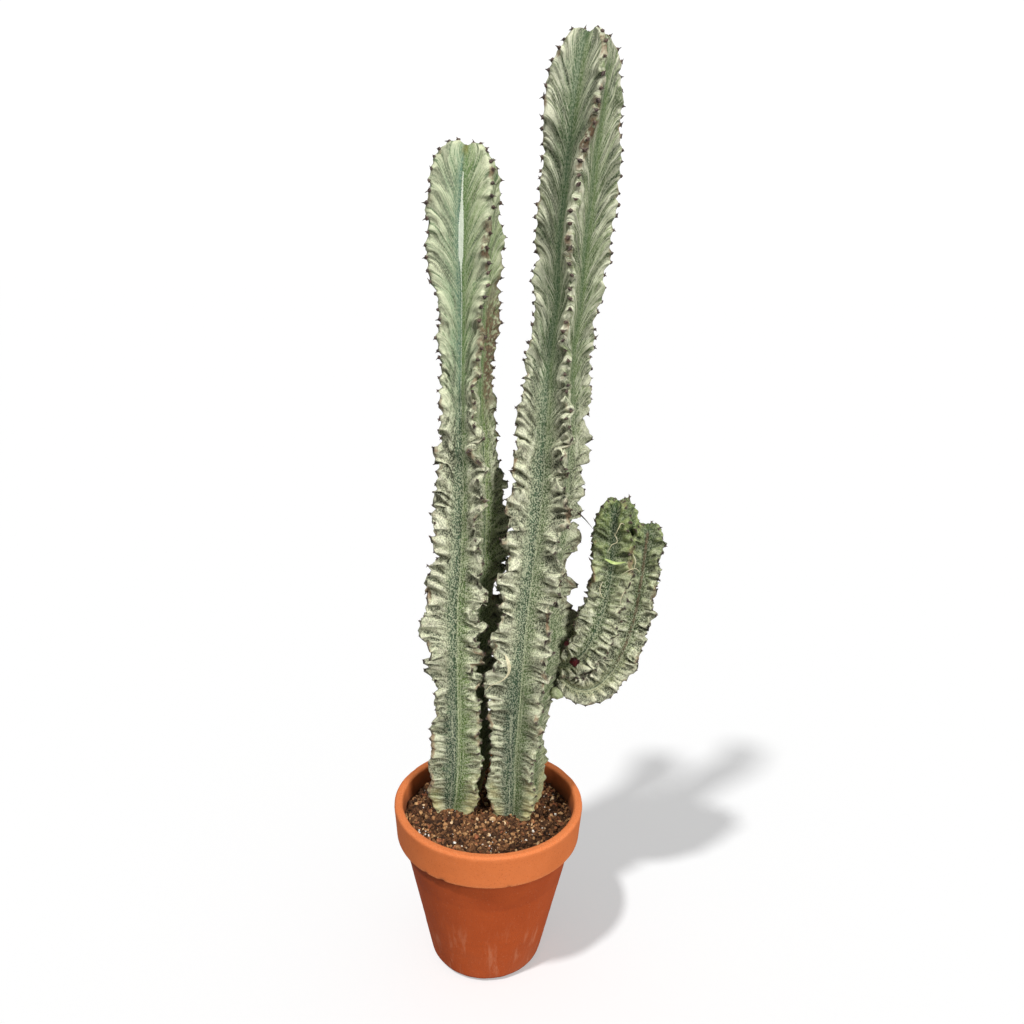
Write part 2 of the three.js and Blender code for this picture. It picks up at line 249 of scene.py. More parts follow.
class Nodes:
    """Adds nodes to a tree and joins their sockets."""

    def __init__(self, tree):
        self.tree = tree

    def feed(self, socket, value):
        """Links an output to the socket, or sets the socket to a plain value."""
        if isinstance(value, bpy.types.NodeSocket):
            self.tree.links.new(value, socket)
        else:
            socket.default_value = value

    def add(self, kind, output=0, settings=None, **inputs):
        """Adds a node and hands back one of its outputs. An underscore stands for a space."""
        node = self.tree.nodes.new(kind)
        for key, value in (settings or {}).items():
            setattr(node, key, value)
        for key, value in inputs.items():
            self.feed(node.inputs[key.replace("_", " ")], value)
        return node.outputs[output]

    def math(self, operation, *values):
        """Joins two or more values with the same operation, one after the other."""
        total = values[0]
        for value in values[1:]:
            node = self.tree.nodes.new("ShaderNodeMath")
            node.operation = operation
            self.feed(node.inputs[0], total)
            self.feed(node.inputs[1], value)
            total = node.outputs[0]
        return total

    def times(self, *values):
        return self.math("MULTIPLY", *values)

    def plus(self, *values):
        return self.math("ADD", *values)

    def minus(self, first, second):
        return self.math("SUBTRACT", first, second)

    def either(self, *values):
        """The largest of the values: where any mask shows."""
        return self.math("MAXIMUM", *values)

    def ease(self, value, low, high):
        """0 where value is low, 1 where it is high, and smooth between. low may be above high."""
        backwards = low > high
        return self.add("ShaderNodeMapRange", 0, {"interpolation_type": "SMOOTHSTEP"}, Value=value,
                        From_Min=min(low, high), From_Max=max(low, high),
                        To_Min=float(backwards), To_Max=float(not backwards))

    def mix(self, factor, first, second):
        """The first colour where factor is 0 and the second where it is 1."""
        node = self.tree.nodes.new("ShaderNodeMix")
        node.data_type = "RGBA"
        self.feed(node.inputs[0], factor)
        self.feed(node.inputs[6], first)
        self.feed(node.inputs[7], second)
        return node.outputs[2]

    def ramp(self, value, stops):
        """A colour from a value, by stops of (place, colour)."""
        node = self.tree.nodes.new("ShaderNodeValToRGB")
        elements = node.color_ramp.elements
        while len(elements) < len(stops):
            elements.new(0.5)
        for element, (place, colour) in zip(elements, stops):
            element.position = place
            element.color = colour
        self.feed(node.inputs[0], value)
        return node.outputs[0]

    def noise(self, vector, scale, detail=2.0, roughness=0.55, distortion=0.0):
        return self.add("ShaderNodeTexNoise", 0, None, Vector=vector, Scale=scale, Detail=detail,
                        Roughness=roughness, Distortion=distortion)

    def stored(self, name):
        """A number that was stored on the mesh's points."""
        return self.add("ShaderNodeAttribute", 2, {"attribute_name": name})

    def place(self):
        """Where on the object this spot is, in metres."""
        return self.add("ShaderNodeTexCoord", 3)

    def stretch(self, vector, x, y, z):
        return self.add("ShaderNodeMapping", 0, None, Vector=vector, Scale=(x, y, z))

    def bump(self, height, distance, strength=1.0):
        return self.add("ShaderNodeBump", 0, None, Height=height, Distance=distance, Strength=strength)

    def use(self, group, **inputs):
        """Places a node group and hands back its outputs by name."""
        node = self.tree.nodes.new("ShaderNodeGroup")
        node.node_tree = group
        for key, value in inputs.items():
            self.feed(node.inputs[key], value)
        return node.outputs


SOCKETS = {"value": "NodeSocketFloat", "vector": "NodeSocketVector"}


def new_group(name, inputs, outputs):
    """An empty group with named sockets: its tree's helper, its inputs and its outputs."""
    group = bpy.data.node_groups.new(name, "ShaderNodeTree")
    for label, (kind, value) in inputs.items():
        socket = group.interface.new_socket(name=label, in_out="INPUT", socket_type=SOCKETS[kind])
        if value is not None:
            socket.default_value = value
    for label, kind in outputs.items():
        group.interface.new_socket(name=label, in_out="OUTPUT", socket_type=SOCKETS[kind])
    entry = group.nodes.new("NodeGroupInput")
    leaving = group.nodes.new("NodeGroupOutput")
    return group, Nodes(group), entry.outputs, leaving.inputs


def new_material(name):
    """A material with its Principled shader: the material, its helper, and the shader's inputs."""
    material = bpy.data.materials.new(name)
    material.use_nodes = True
    shader = material.node_tree.nodes["Principled BSDF"]
    return material, Nodes(material.node_tree), shader.inputs


# %% [markdown]
# ## Shared effects
# Three effects turn up in nearly every finish. *Flecks* are small spots with a soft edge, for speckled
# skin, grit and pores. *Streaks* are lines that follow the folds of a rib: they read the fold's own
# coordinate, so that they sweep up from the furrow to the margin as the folds do. *Grime* is large,
# cloudy variation, for weather and dust. Each gives masks only, and the finish colours them.

# %% Flecks, streaks and grime
STREAK_EDGE = 0.1
GRAIN_FINER = 40.0

flecks, nodes, given, result = new_group(
    "flecks",
    {"Place": ("vector", None), "Scale": ("value", 500.0), "Cover": ("value", 0.4),
     "Softness": ("value", 0.08)},
    {"Mask": "value"})
spots = nodes.noise(given["Place"], given["Scale"], 1.5, 0.5)
edge = nodes.minus(nodes.minus(0.8, nodes.times(given["Cover"], 0.6)), spots)
soft = nodes.math("DIVIDE", nodes.minus(given["Softness"], edge), given["Softness"])
nodes.feed(result["Mask"], nodes.ease(soft, 0.0, 1.0))

streaks, nodes, given, result = new_group(
    "streaks",
    {"Phase": ("value", 0.0), "Across": ("value", 0.0), "Rib": ("value", 0.0),
     "Wave": ("value", 3.0), "Run": ("value", 1.5), "Cover": ("value", 0.5)},
    {"Mask": "value"})
line = nodes.add("ShaderNodeCombineXYZ", 0, None,
                 X=nodes.math("DIVIDE", given["Phase"], given["Wave"]),
                 Y=nodes.times(given["Across"], given["Run"]),
                 Z=nodes.times(given["Rib"], 13.7))
lines = nodes.noise(line, 1.0, 2.0, 0.5, 0.3)
start = nodes.minus(0.75, nodes.times(given["Cover"], 0.5))
rise = nodes.math("DIVIDE", nodes.minus(lines, start), STREAK_EDGE)
nodes.feed(result["Mask"], nodes.ease(rise, 0.0, 1.0))

grime, nodes, given, result = new_group(
    "grime",
    {"Place": ("vector", None), "Scale": ("value", 20.0)},
    {"Cloud": "value", "Patch": "value", "Grain": "value"})
clouds = nodes.noise(given["Place"], given["Scale"], 4.0, 0.6)
nodes.feed(result["Cloud"], clouds)
nodes.feed(result["Patch"], nodes.ease(clouds, 0.5, 0.66))
nodes.feed(result["Grain"], nodes.noise(given["Place"], nodes.times(given["Scale"], GRAIN_FINER), 3.0, 0.6))


def fleck(nodes, place, scale, cover, softness=0.1):
    """The mask of a flecks group."""
    return nodes.use(flecks, Place=place, Scale=scale, Cover=cover, Softness=softness)["Mask"]


print("shared effects:", ", ".join(group.name for group in (flecks, streaks, grime)))

# %% [markdown]
# ## Floor and light
# The plant stands on a seamless pale floor. The key light is high at the front left and casts a soft
# shadow to the right and behind, and a low, wide fill from the front right opens up the ribs. The fill
# skips the floor, so that it casts no second shadow there. Both are suns, because they light the whole
# height evenly, which a lamp close by would not. The sky is a plain pale dome. Seen directly, both sky
# and floor are lifted to white, so that no horizon shows and the shadow stays light. As lights they are
# weaker, so that the deep furrows of the plant stay dark. The Standard view transform keeps white
# white.

# %% Floor, sun and sky
FLOOR_REACH = 60.0
FLOOR_DROP = 0.0004
KEY_LIGHT = {"turn": -39, "height": 60, "angle": 4, "strength": 2.3}
FILL_LIGHT = {"turn": 38, "height": 30, "angle": 16, "strength": 2.9}
SKY_LIGHT, SKY_SEEN = 0.3, 1.05
FLOOR_SEEN, FLOOR_BOUNCE, FLOOR_LIFT = 0.63, 0.4, 0.4

floor_mesh = bpy.data.meshes.new("floor")
corners = [(x * FLOOR_REACH, y * FLOOR_REACH, -FLOOR_DROP) for x, y in ((-1, -1), (1, -1), (1, 1), (-1, 1))]
floor_mesh.from_pydata(corners, [], [(0, 1, 2, 3)])
floor = bpy.data.objects.new("floor", floor_mesh)
bpy.context.collection.objects.link(floor)
floor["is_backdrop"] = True
floor_paint, nodes, skin = new_material("floor_paint")
texture = nodes.times(nodes.noise(nodes.place(), 900.0, 2.0), 0.03)
seen_directly = nodes.add("ShaderNodeLightPath", 0)
share = nodes.plus(nodes.times(seen_directly, FLOOR_SEEN - FLOOR_BOUNCE), FLOOR_BOUNCE)
grey = nodes.plus(share, texture)
nodes.feed(skin["Base Color"], nodes.add("ShaderNodeCombineColor", 0, None, Red=grey, Green=grey, Blue=grey))
skin["Emission Color"].default_value = (1.0, 1.0, 1.0, 1.0)
nodes.feed(skin["Emission Strength"], nodes.times(seen_directly, FLOOR_LIFT))
skin["Roughness"].default_value = 0.9
skin["Specular IOR Level"].default_value = 0.0
floor_mesh.materials.append(floor_paint)


def place_sun(name, turn, height, angle, strength):
    """A sun that shines from turn degrees beside the front and height degrees up."""
    data = bpy.data.lights.new(name, "SUN")
    data.energy = strength
    data.angle = math.radians(angle)
    turn, height = math.radians(turn), math.radians(height)
    low = math.cos(height)
    shines_from = Vector((math.sin(turn) * low, -math.cos(turn) * low, math.sin(height)))
    sun = bpy.data.objects.new(name, data)
    sun.rotation_euler = shines_from.to_track_quat("Z", "Y").to_euler()
    bpy.context.collection.objects.link(sun)
    print(name, "light from", [round(v, 2) for v in shines_from])
    return sun


place_sun("key", **KEY_LIGHT)
fill = place_sun("fill", **FILL_LIGHT)
unlit = bpy.data.collections.new("not_lit_by_fill")
unlit.objects.link(floor)
fill.light_linking.receiver_collection = unlit
unlit.collection_objects[0].light_linking.link_state = "EXCLUDE"

sky = bpy.data.worlds.new("sky")
sky.use_nodes = True
bpy.context.scene.world = sky
nodes = Nodes(sky.node_tree)
background = sky.node_tree.nodes["Background"]
seen_directly = nodes.add("ShaderNodeLightPath", 0)
nodes.feed(background.inputs["Color"], (1.0, 1.0, 1.0, 1.0))
strength = nodes.add("ShaderNodeMapRange", 0, None, Value=seen_directly, To_Min=SKY_LIGHT, To_Max=SKY_SEEN)
nodes.feed(background.inputs["Strength"], strength)
bpy.context.scene.view_settings.view_transform = "Standard"
print("view transform:", bpy.context.scene.view_settings.view_transform)

# %% [markdown]
# ## Where the stems run
# Each stem follows stations up its axis: a place, how far its ribs reach, and how the cross of ribs is
# turned. These are the same stations the CAD model was made from, so the skin fits the solid. Between
# them runs a Catmull-Rom spline, which goes through every station. A Bezier curve would need handles
# that the model never had.

# %% Stations: x, y, z, reach in millimetres and turn in degrees
LEFT_STEM = [
    (-36, 16, 126, 24, 32), (-36, 16, 164, 28, 34), (-34, 16, 192, 37, 38), (-33, 16, 240, 36, 40),
    (-34, 16, 295, 33, 40), (-35, 16, 350, 36, 40), (-34, 16, 404, 36, 37), (-29, 15, 446, 37, 31),
    (-26, 14, 500, 34, 25), (-25, 14, 559, 31, 16), (-27, 14, 608, 27, 18), (-28, 14, 655, 29, 25),
    (-29, 14, 700, 32, 31), (-30, 14, 744, 38, 34), (-31, 14, 787, 39, 39), (-29, 14, 836, 37, 38)]
CENTRE_STEM = [
    (28, 8, 126, 22, 30), (29, 8, 164, 27, 30), (30, 8, 192, 35, 30), (30, 8, 240, 35, 30),
    (32, 8, 295, 38, 33), (34, 8, 355, 40, 35), (38, 8, 410, 40, 34), (44, 8, 460, 40, 30),
    (49, 8, 512, 38, 27), (54, 8, 562, 36, 18), (56, 8, 610, 34, 16), (59, 8, 657, 29, 7),
    (65, 8, 702, 30, -1), (67, 8, 746, 34, -8), (70, 8, 789, 34, -6), (72, 8, 822, 33, -5),
    (71, 8, 866, 36, 18), (75, 8, 926, 33, 24)]
BRANCH_BACK_HEAD = [
    (70, 32, 325, 10, 28), (84, 31, 330, 22, 28), (100, 30, 348, 28, 28), (113, 29, 380, 30, 28),
    (121, 28, 420, 29, 28), (124, 28, 465, 26, 26), (123, 28, 512, 24, 26)]
BRANCH_FRONT_HEAD = [
    (72, 32, 314, 10, 45), (88, 30, 305, 21, 45), (107, 29, 307, 25, 45), (125, 28, 327, 25, 45),
    (138, 28, 357, 24, 45), (146, 28, 390, 23, 45), (150, 28, 430, 23, 45), (154, 28, 487, 23, 45)]
SPLINE_SAMPLES = 4000


def spline(stations, share):
    """Points of the Catmull-Rom spline through the stations, at shares 0 to 1 of its run."""
    knots = np.array(stations, float)
    knots = np.vstack((2 * knots[0] - knots[1], knots, 2 * knots[-1] - knots[-2]))
    run = share * (len(stations) - 1)
    first = np.minimum(run.astype(int), len(stations) - 2)
    t = (run - first)[:, None]
    a, b, c, d = (knots[first + k] for k in range(4))
    leave, arrive, step = (c - a) / 2, (d - b) / 2, c - b
    return b + leave * t + (3 * step - 2 * leave - arrive) * t**2 + (leave + arrive - 2 * step) * t**3


def axis_rows(stations, distances):
    """Centre, tangent, side, depth, reach and turn of the rows at these distances up the axis."""
    share = np.linspace(0, 1, SPLINE_SAMPLES)
    line = spline(stations, share)
    steps = np.linalg.norm(np.diff(line[:, :3], axis=0), axis=1)
    travelled = np.concatenate(([0], np.cumsum(steps)))
    at = np.interp(distances, travelled, share)
    rows = spline(stations, at)
    nudge = 0.5 / SPLINE_SAMPLES
    ahead_of = spline(stations, np.minimum(at + nudge, 1))[:, :3]
    behind = spline(stations, np.maximum(at - nudge, 0))[:, :3]
    tangent = unit(ahead_of - behind)
    depth = unit(np.array([0, 1, 0]) - tangent * tangent[:, 1:2])
    side = np.cross(depth, tangent)
    return rows[:, :3], tangent, side, depth, rows[:, 3], np.radians(rows[:, 4])


def axis_length(stations):
    """How long the axis through the stations is, in millimetres."""
    line = spline(stations, np.linspace(0, 1, SPLINE_SAMPLES))[:, :3]
    return np.linalg.norm(np.diff(line, axis=0), axis=1).sum()


print("stem lengths in mm:", round(axis_length(LEFT_STEM)), round(axis_length(CENTRE_STEM)))

# %% [markdown]
# ## How the skin changes with height
# The young top is smooth, with fine straight folds that sweep steeply up to an even, toothed margin.
# Halfway down the plant once grew fast and crumpled: the margin swings from side to side in lobes, and
# the folds lie almost level and overlap. Near the soil the skin is old and tight. A table gives each of
# these traits at a few heights, and the rows between are read off it. One formula for the whole height
# would be either too tame in the middle or too wild at the top.

# %% Traits by height, in millimetres
TALL_TRAITS = {
    "height": (150, 200, 280, 330, 420, 500, 570, 640, 700, 800, 930),
    "rise": (7, 8, 8, 9, 10, 15, 24, 34, 38, 42, 44),
    "sway": (2.0, 3.0, 5.0, 8.0, 8.5, 7.5, 6.0, 4.2, 3.4, 2.8, 2.2),
    "lean": (1.0, 2.0, 3.5, 5.0, 5.0, 4.5, 3.5, 2.0, 1.2, 0.8, 0.6),
    "notch": (1.0, 2.0, 5.0, 7.0, 7.0, 6.0, 4.5, 3.0, 2.0, 1.6, 1.2),
    "lobe": (1.0, 2.0, 4.0, 5.5, 5.5, 5.0, 3.8, 2.4, 1.8, 1.4, 1.0),
    "tooth": (1.5, 2.2, 3.4, 4.4, 4.4, 4.2, 3.4, 2.6, 2.2, 1.8, 1.8),
    "fold": (0.5, 0.6, 1.2, 3.0, 3.7, 3.7, 3.0, 1.6, 1.2, 1.1, 1.1),
    "wrinkle": (1.3, 1.4, 1.3, 1.2, 1.3, 1.3, 1.1, 0.7, 0.55, 0.5, 0.5),
    "bare": (0.42, 0.42, 0.42, 0.38, 0.30, 0.26, 0.24, 0.2, 0.16, 0.16, 0.16),
    "calm": (0.4, 0.4, 0.4, 0.5, 0.6, 0.65, 0.8, 1.0, 1.0, 1.0, 1.0),
    "fine": (1.0, 1.0, 0.9, 0.3, 0.0, 0.0, 0.0, 0.0, 0.0, 0.0, 0.0),
    "spine": (0.45, 0.45, 0.5, 0.5, 0.5, 0.55, 0.65, 0.9, 1.0, 1.0, 1.0),
}
BRANCH_TRAITS = {
    "height": (290, 340, 400, 450, 520),
    "rise": (3, 3, 4, 6, 12),
    "sway": (2.0, 4.0, 4.5, 4.0, 2.5),
    "lean": (1.5, 3.0, 3.0, 3.0, 2.0),
    "notch": (0.8, 2.0, 2.5, 2.5, 2.0),
    "lobe": (0.8, 2.0, 2.0, 2.0, 1.5),
    "tooth": (1.5, 2.8, 2.8, 2.8, 2.6),
    "fold": (1.4, 2.4, 2.8, 2.8, 2.4),
    "wrinkle": (0.9, 1.2, 1.4, 1.4, 1.2),
    "bare": (0.1, 0.1, 0.1, 0.12, 0.15),
    "calm": (0.9, 0.9, 0.9, 0.9, 0.9),
    "fine": (0.3, 0.2, 0.2, 0.2, 0.2),
    "spine": (0.4, 0.45, 0.5, 0.55, 0.6),
}
print("traits read off by height:", ", ".join(list(TALL_TRAITS)[1:]))

# %% [markdown]
# ## The skin of a stem
# A stem of this plant is a fleshy core with four thin ribs, whose margins carry a tooth and a pair of
# spines every centimetre. It could be sculpted by hand, or modelled as a smooth cross with a
# displacement map, but the export keeps real geometry best. So the skin is a fine grid: rows go up the
# axis about a millimetre apart, and columns go round the cross, from each furrow out to a crest and
# back. Each point starts on the smooth cross and is then moved: out for teeth, in for notches, sideways
# for the swaying margin, and along the flank's normal for folds and wrinkles.

# %% Columns round the cross
RIBS = 4
RIB_TURN = 2 * math.pi / RIBS
HALF_RIB = np.concatenate((np.linspace(0, 0.8, 15), [0.85, 0.9, 0.945, 0.98, 1.0]))
CREST_COLUMN = len(HALF_RIB) - 1
PER_RIB = 2 * CREST_COLUMN
COLUMNS = RIBS * PER_RIB
COLUMN_RIB = np.repeat(np.arange(RIBS), PER_RIB)
COLUMN_OUT = np.tile(np.concatenate((HALF_RIB, HALF_RIB[-2:0:-1])), RIBS)
COLUMN_SIDE = np.tile(np.sign(np.arange(PER_RIB) - CREST_COLUMN), RIBS)
print(COLUMNS, "columns round each stem")

# %% Rows up the stem
ROW_STEP = 1.25
DOME_ROWS = 64
TIP_CLOSING = 0.985


def rows_up(stations, start, dome):
    """How far up the axis each row is, and how open it is: 1 below the dome, nearly 0 at the tip."""
    dome_length, dome_power = dome
    dome_start = axis_length(stations) - dome_length
    rows_below = int((dome_start - start) / ROW_STEP)
    angle = np.linspace(0, math.pi / 2 * TIP_CLOSING, DOME_ROWS + 1)[1:]
    climb = np.sin(angle) ** (2 / dome_power)
    straight = np.linspace(start, dome_start, rows_below)
    distances = np.concatenate((straight, dome_start + dome_length * climb))
    return distances, np.concatenate((np.ones(rows_below), np.cos(angle) ** (2 / dome_power)))


print("rows every", ROW_STEP, "mm, and", DOME_ROWS, "rows in each dome")

# %% [markdown]
# ## Teeth, lobes and folds
# Three things shape the skin, and each has its own function. Teeth sit on the crest at uneven steps.
# Lobes swing the margin aside and let it sink in between them. Folds push the flank out, and they
# follow a coordinate that sweeps up with the rib, so they lie level in the furrow and rise towards the
# margin.

# %% Teeth on the crests
TOOTH_PITCH = 10.6
TOOTH_ROOM = 1.2
TOOTH_HALF = 0.45
TOOTH_TIP = 2.4


def rib_teeth(crest_line, pitch, rng):
    """The row of each tooth on a crest, and each row's nearest tooth and how far away it is."""
    steps = np.linalg.norm(np.diff(crest_line, axis=0), axis=1)
    travelled = np.concatenate(([0], np.cumsum(steps)))
    gaps = pitch * rng.uniform(0.78, 1.22, int(travelled[-1] / pitch) + 4)
    teeth = np.cumsum(gaps) - gaps[0] * rng.uniform(0, 1)
    teeth = teeth[teeth < travelled[-1] - pitch * 0.35]
    away = travelled[:, None] - teeth[None, :]
    nearest = np.abs(away).argmin(axis=1)
    tooth_rows = np.interp(teeth, travelled, np.arange(len(travelled)))
    return tooth_rows, nearest, away[np.arange(len(away)), nearest]


def grow_teeth(out, distances, closing, trait, pitch, rng):
    """How far the teeth reach out and lean aside, where their tips are, and their rows on each rib."""
    grown, leaned, tips = (np.zeros_like(out) for _ in range(3))
    tooth_rows = []
    for number in range(RIBS):
        columns = slice(number * PER_RIB, (number + 1) * PER_RIB)
        crest = np.column_stack((out[:, number * PER_RIB + CREST_COLUMN], distances))
        places, nearest, away = rib_teeth(crest, pitch, rng)
        size = rng.uniform(0.75, 1.25, len(places) + 1)[nearest]
        leaning = rng.uniform(-1, 1, len(places) + 1)[nearest]
        peak = np.clip(1 - np.abs(away) / (pitch * TOOTH_HALF), 0, 1) ** 1.4
        edge = COLUMN_OUT[columns]
        grown[:, columns] = np.outer(trait["tooth"] * size * peak * (0.5 + 0.5 * closing), edge**7)
        leaned[:, columns] = np.outer(trait["lean"] * leaning * peak * closing, edge**5)
        tips[:, columns] = np.outer(np.clip(1 - np.abs(away) / TOOTH_TIP, 0, 1), edge**30)
        tooth_rows.append(places)
    return grown, leaned, tips, tooth_rows


print("a tooth every", TOOTH_PITCH, "mm or so")

# %% Lobes of the margin, folds and wrinkles of the flank
LOBE, SMALL_LOBE, SWELL, DROOP, FOLD, FINE_FOLD, WRINKLE = 15, 6, 14, 7, 5.2, 2.3, 1.3
LENGTHEN = 0.05
SWEEP_BEND = 1.6
FINE_SHIFT = 1.3


def lobed_margin(s, rib, edge, young, table, seed):
    """How far each point swings aside and is pulled in, by its distance s up the stem."""
    swing = wander(s / LOBE + rib * 7.3, rib * 3.1, seed)
    lobes = swing + 0.45 * wander(s / SMALL_LOBE + rib * 5.1, rib * 2.3, seed + 1)
    aside = 1.25 * table["sway"] * lobes * edge**1.5 * young
    cusp = np.clip(1 - np.abs(swing) * 3.5, 0, 1)
    pull_in = table["notch"] * cusp**1.5 * edge**2.5 * young
    pull_in -= table["lobe"] * wander(s / SWELL + rib * 4.7, rib * 1.9, seed + 8) * edge**2 * young
    return aside, pull_in


def folded_flank(s, rib, edge, young, table, seed):
    """How far the folds push the flank out and let it droop, the fold that shows, and its coordinate."""
    phase = s - table["rise"] * (1 - (1 - edge) ** SWEEP_BEND)
    level = COLUMN_SIDE * edge * FINE_SHIFT
    longer = LENGTHEN * table["rise"]
    ridged = 0.75 - 2.1 * np.abs(wander(phase / FOLD, level + rib * 11, seed + 2))
    folds = ridged + 0.55 * wander(phase / (FINE_FOLD + longer), 2 * level + rib * 5, seed + 3)
    wrinkles = wander(phase / (WRINKLE + longer), 2.2 * level + rib * 9, seed + 4)
    bare, fine = table["bare"], table["fine"]
    calm = np.where(COLUMN_SIDE < 0, table["calm"], 1.0)
    folds = folds * ease(bare, bare + 0.42, edge) * (0.35 + 0.65 * young) * calm
    wrinkles = wrinkles * ease(bare * 0.7, bare + 0.2, edge) * young * calm
    push = table["fold"] * folds + table["wrinkle"] * wrinkles
    droop = table["fold"] * 1.6 * wander(s / DROOP + rib * 3.7, level, seed + 5) * edge**2 * young
    seen = folds * (0.75 - 0.55 * fine) + wrinkles * (0.45 + 0.45 * fine)
    return push, droop, np.clip(seen, -1, 1), phase


print("folds", FOLD, "mm apart and lobes", LOBE, "mm apart")

# %% [markdown]
# ## From numbers to a mesh
# The last helpers close the grid into a skin, note where the spines will stand, and lay the grid out
# flat as a UV map. The grid is its own map: columns run across and rows run up, which an automatic
# unwrap would cut into many small islands.


# %% Faces, spine seats and the flat map
def skin_faces(rows):
    """Quads between the rows, a fan of triangles to the tip point, and a lid on the buried end."""
    faces = ring_faces(rows, COLUMNS)
    last = (rows - 1) * COLUMNS
    faces += [(last + k, last + (k + 1) % COLUMNS, rows * COLUMNS) for k in range(COLUMNS)]
    faces.append(tuple(range(COLUMNS))[::-1])
    return faces


def spine_seats(grid, tooth_rows, height, size):
    """For each tooth above the soil: its seat, the ways out and across, and its size."""
    seats = []
    for number, places in enumerate(tooth_rows):
        column = number * PER_RIB + CREST_COLUMN
        for place in places:
            row = int(round(float(place)))
            if not 2 < row < len(grid) - 3 or height[row] < SOIL_TOP + 8:
                continue
            seat = grid[row, column]
            inner_point = (grid[row, column - 4] + grid[row, column + 4]) / 2
            crosswise = unit(grid[row, column + 2] - grid[row, column - 2])
            seats.append((seat, unit(seat - inner_point), crosswise, size[row]))
    return seats


def unroll(piece, row_counts):
    """Lays the skins of a piece out side by side: across is round the stem and up is along it."""
    mesh = piece.data
    corner_point = np.empty(len(mesh.loops), int)
    mesh.loops.foreach_get("vertex_index", corner_point)
    sizes = np.empty(len(mesh.polygons), int)
    mesh.polygons.foreach_get("loop_total", sizes)
    corner_face = np.repeat(np.arange(len(sizes)), sizes)
    flat = np.zeros((len(corner_point), 2))
    start = 0
    for number, rows in enumerate(row_counts):
        count = rows * COLUMNS + 1
        here = (corner_face >= start) & (corner_face < start + count)
        point, face = corner_point[here] - start, corner_face[here] - start
        column = (point % COLUMNS).astype(float)
        column[(column == 0) & (face % COLUMNS == COLUMNS - 1)] = COLUMNS
        column = np.where(point == rows * COLUMNS, face % COLUMNS + 0.5, column)
        across = (number + 0.01 + 0.98 * column / COLUMNS) / len(row_counts)
        flat[here] = np.column_stack((across, 0.01 + 0.98 * (point // COLUMNS) / rows))
        start += count
    mesh.uv_layers.new(name="OFBake").data.foreach_set("uv", flat.ravel())


print("helpers ready for skins of", COLUMNS, "columns")

# %% Grow one ribbed stem
CREST_HALF = 3.0
CREST_ROUND = 0.12
FLANK_HOLLOW = 1.35
FURROW_SHARE = 0.5 * math.sqrt(0.5)
FURROW_ROUNDINGS = 8
TIP_DIP = 5.5
TIP_DIP_WIDTH = 9.0


def smooth_cross(reach):
    """The plain cross of ribs in each row: how far out and across each point is, and the two radii."""
    furrow = reach * FURROW_SHARE
    half = np.minimum(CREST_HALF, reach * 0.3)
    out = furrow[:, None] + (reach - furrow)[:, None] * COLUMN_OUT
    past = np.clip((COLUMN_OUT - (1 - CREST_ROUND)) / CREST_ROUND, 0, 1)
    thickness = half[:, None] + (furrow - half)[:, None] * (1 - COLUMN_OUT) ** FLANK_HOLLOW
    return out, COLUMN_SIDE * thickness * np.sqrt(1 - past**2 * 0.9), furrow, half


def grow_stem(stations, start, dome, traits, seed, shape=None, pitch=TOOTH_PITCH):
    """The skin of one stem: its points, faces, stored numbers, spine seats and number of rows."""
    rng = np.random.default_rng(seed)
    distances, closing = rows_up(stations, start, dome)
    centre, tangent, side, depth, reach, turn = axis_rows(stations, distances)
    height = centre[:, 2]
    trait = {name: np.interp(height, traits["height"], values) for name, values in traits.items()}
    table = {name: values[:, None] for name, values in trait.items()}
    s, young, rib, edge = distances[:, None], closing[:, None], COLUMN_RIB[None, :], COLUMN_OUT[None, :]

    reach = (reach - TOOTH_ROOM) * closing
    out, across, furrow, half = smooth_cross(reach)
    if shape is not None:
        out = out + np.repeat(shape(height), PER_RIB, axis=1) * edge**0.8
    aside, pull_in = lobed_margin(s, rib, edge, young, table, seed)
    push, droop, seen_fold, phase = folded_flank(s, rib, edge, young, table, seed)
    grown, leaned, tips, tooth_rows = grow_teeth(out, distances, closing, trait, pitch, rng)

    # Teeth point outward, and on the dome they point up as well.
    up_share = np.where(closing < 1, -np.gradient(reach, distances), 0)
    outward = unit(np.column_stack((np.ones_like(up_share), np.clip(up_share, 0, 30))))
    flank = unit(np.stack((furrow - half, reach - furrow + 1e-6), axis=1))
    moved = grown - pull_in
    lift = moved * outward[:, 1:] - droop
    out = out + moved * outward[:, :1] + push * flank[:, :1] * np.abs(COLUMN_SIDE)
    across = across + aside + leaned + push * flank[:, 1:] * COLUMN_SIDE
    dip = np.exp(-((np.hypot(out, across) / TIP_DIP_WIDTH) ** 2)) * ease(0.1, 0.8, 1 - young)
    lift = lift - TIP_DIP * dip

    bearing = turn[:, None] + rib * RIB_TURN
    sideways = out * np.cos(bearing) - across * np.sin(bearing)
    inward = out * np.sin(bearing) + across * np.cos(bearing)
    grid = centre[:, None] + sideways[..., None] * side[:, None] + inward[..., None] * depth[:, None]
    grid = grid + lift[..., None] * tangent[:, None]
    for _ in range(FURROW_ROUNDINGS):
        blend = (0.6 * (1 - ease(0.0, 0.18, COLUMN_OUT)))[None, :, None]
        grid += blend * ((np.roll(grid, 1, 1) + np.roll(grid, -1, 1)) / 2 - grid)

    numbers = {"across": edge, "side": COLUMN_SIDE * edge, "rib": rib, "phase": phase,
               "height": height[:, None] + lift, "fold": seen_fold, "tip": tips, "dome": 1 - young}
    spread = {name: np.broadcast_to(values, out.shape) for name, values in numbers.items()}
    numbers = {name: np.append(values.ravel(), values[-1, 0]) for name, values in spread.items()}
    points = np.vstack((grid.reshape(-1, 3), grid[-1].mean(axis=0)))
    seats = spine_seats(grid, tooth_rows, height, trait["spine"])
    return points, skin_faces(len(grid)), numbers, seats, len(grid)


print("stem builder ready")

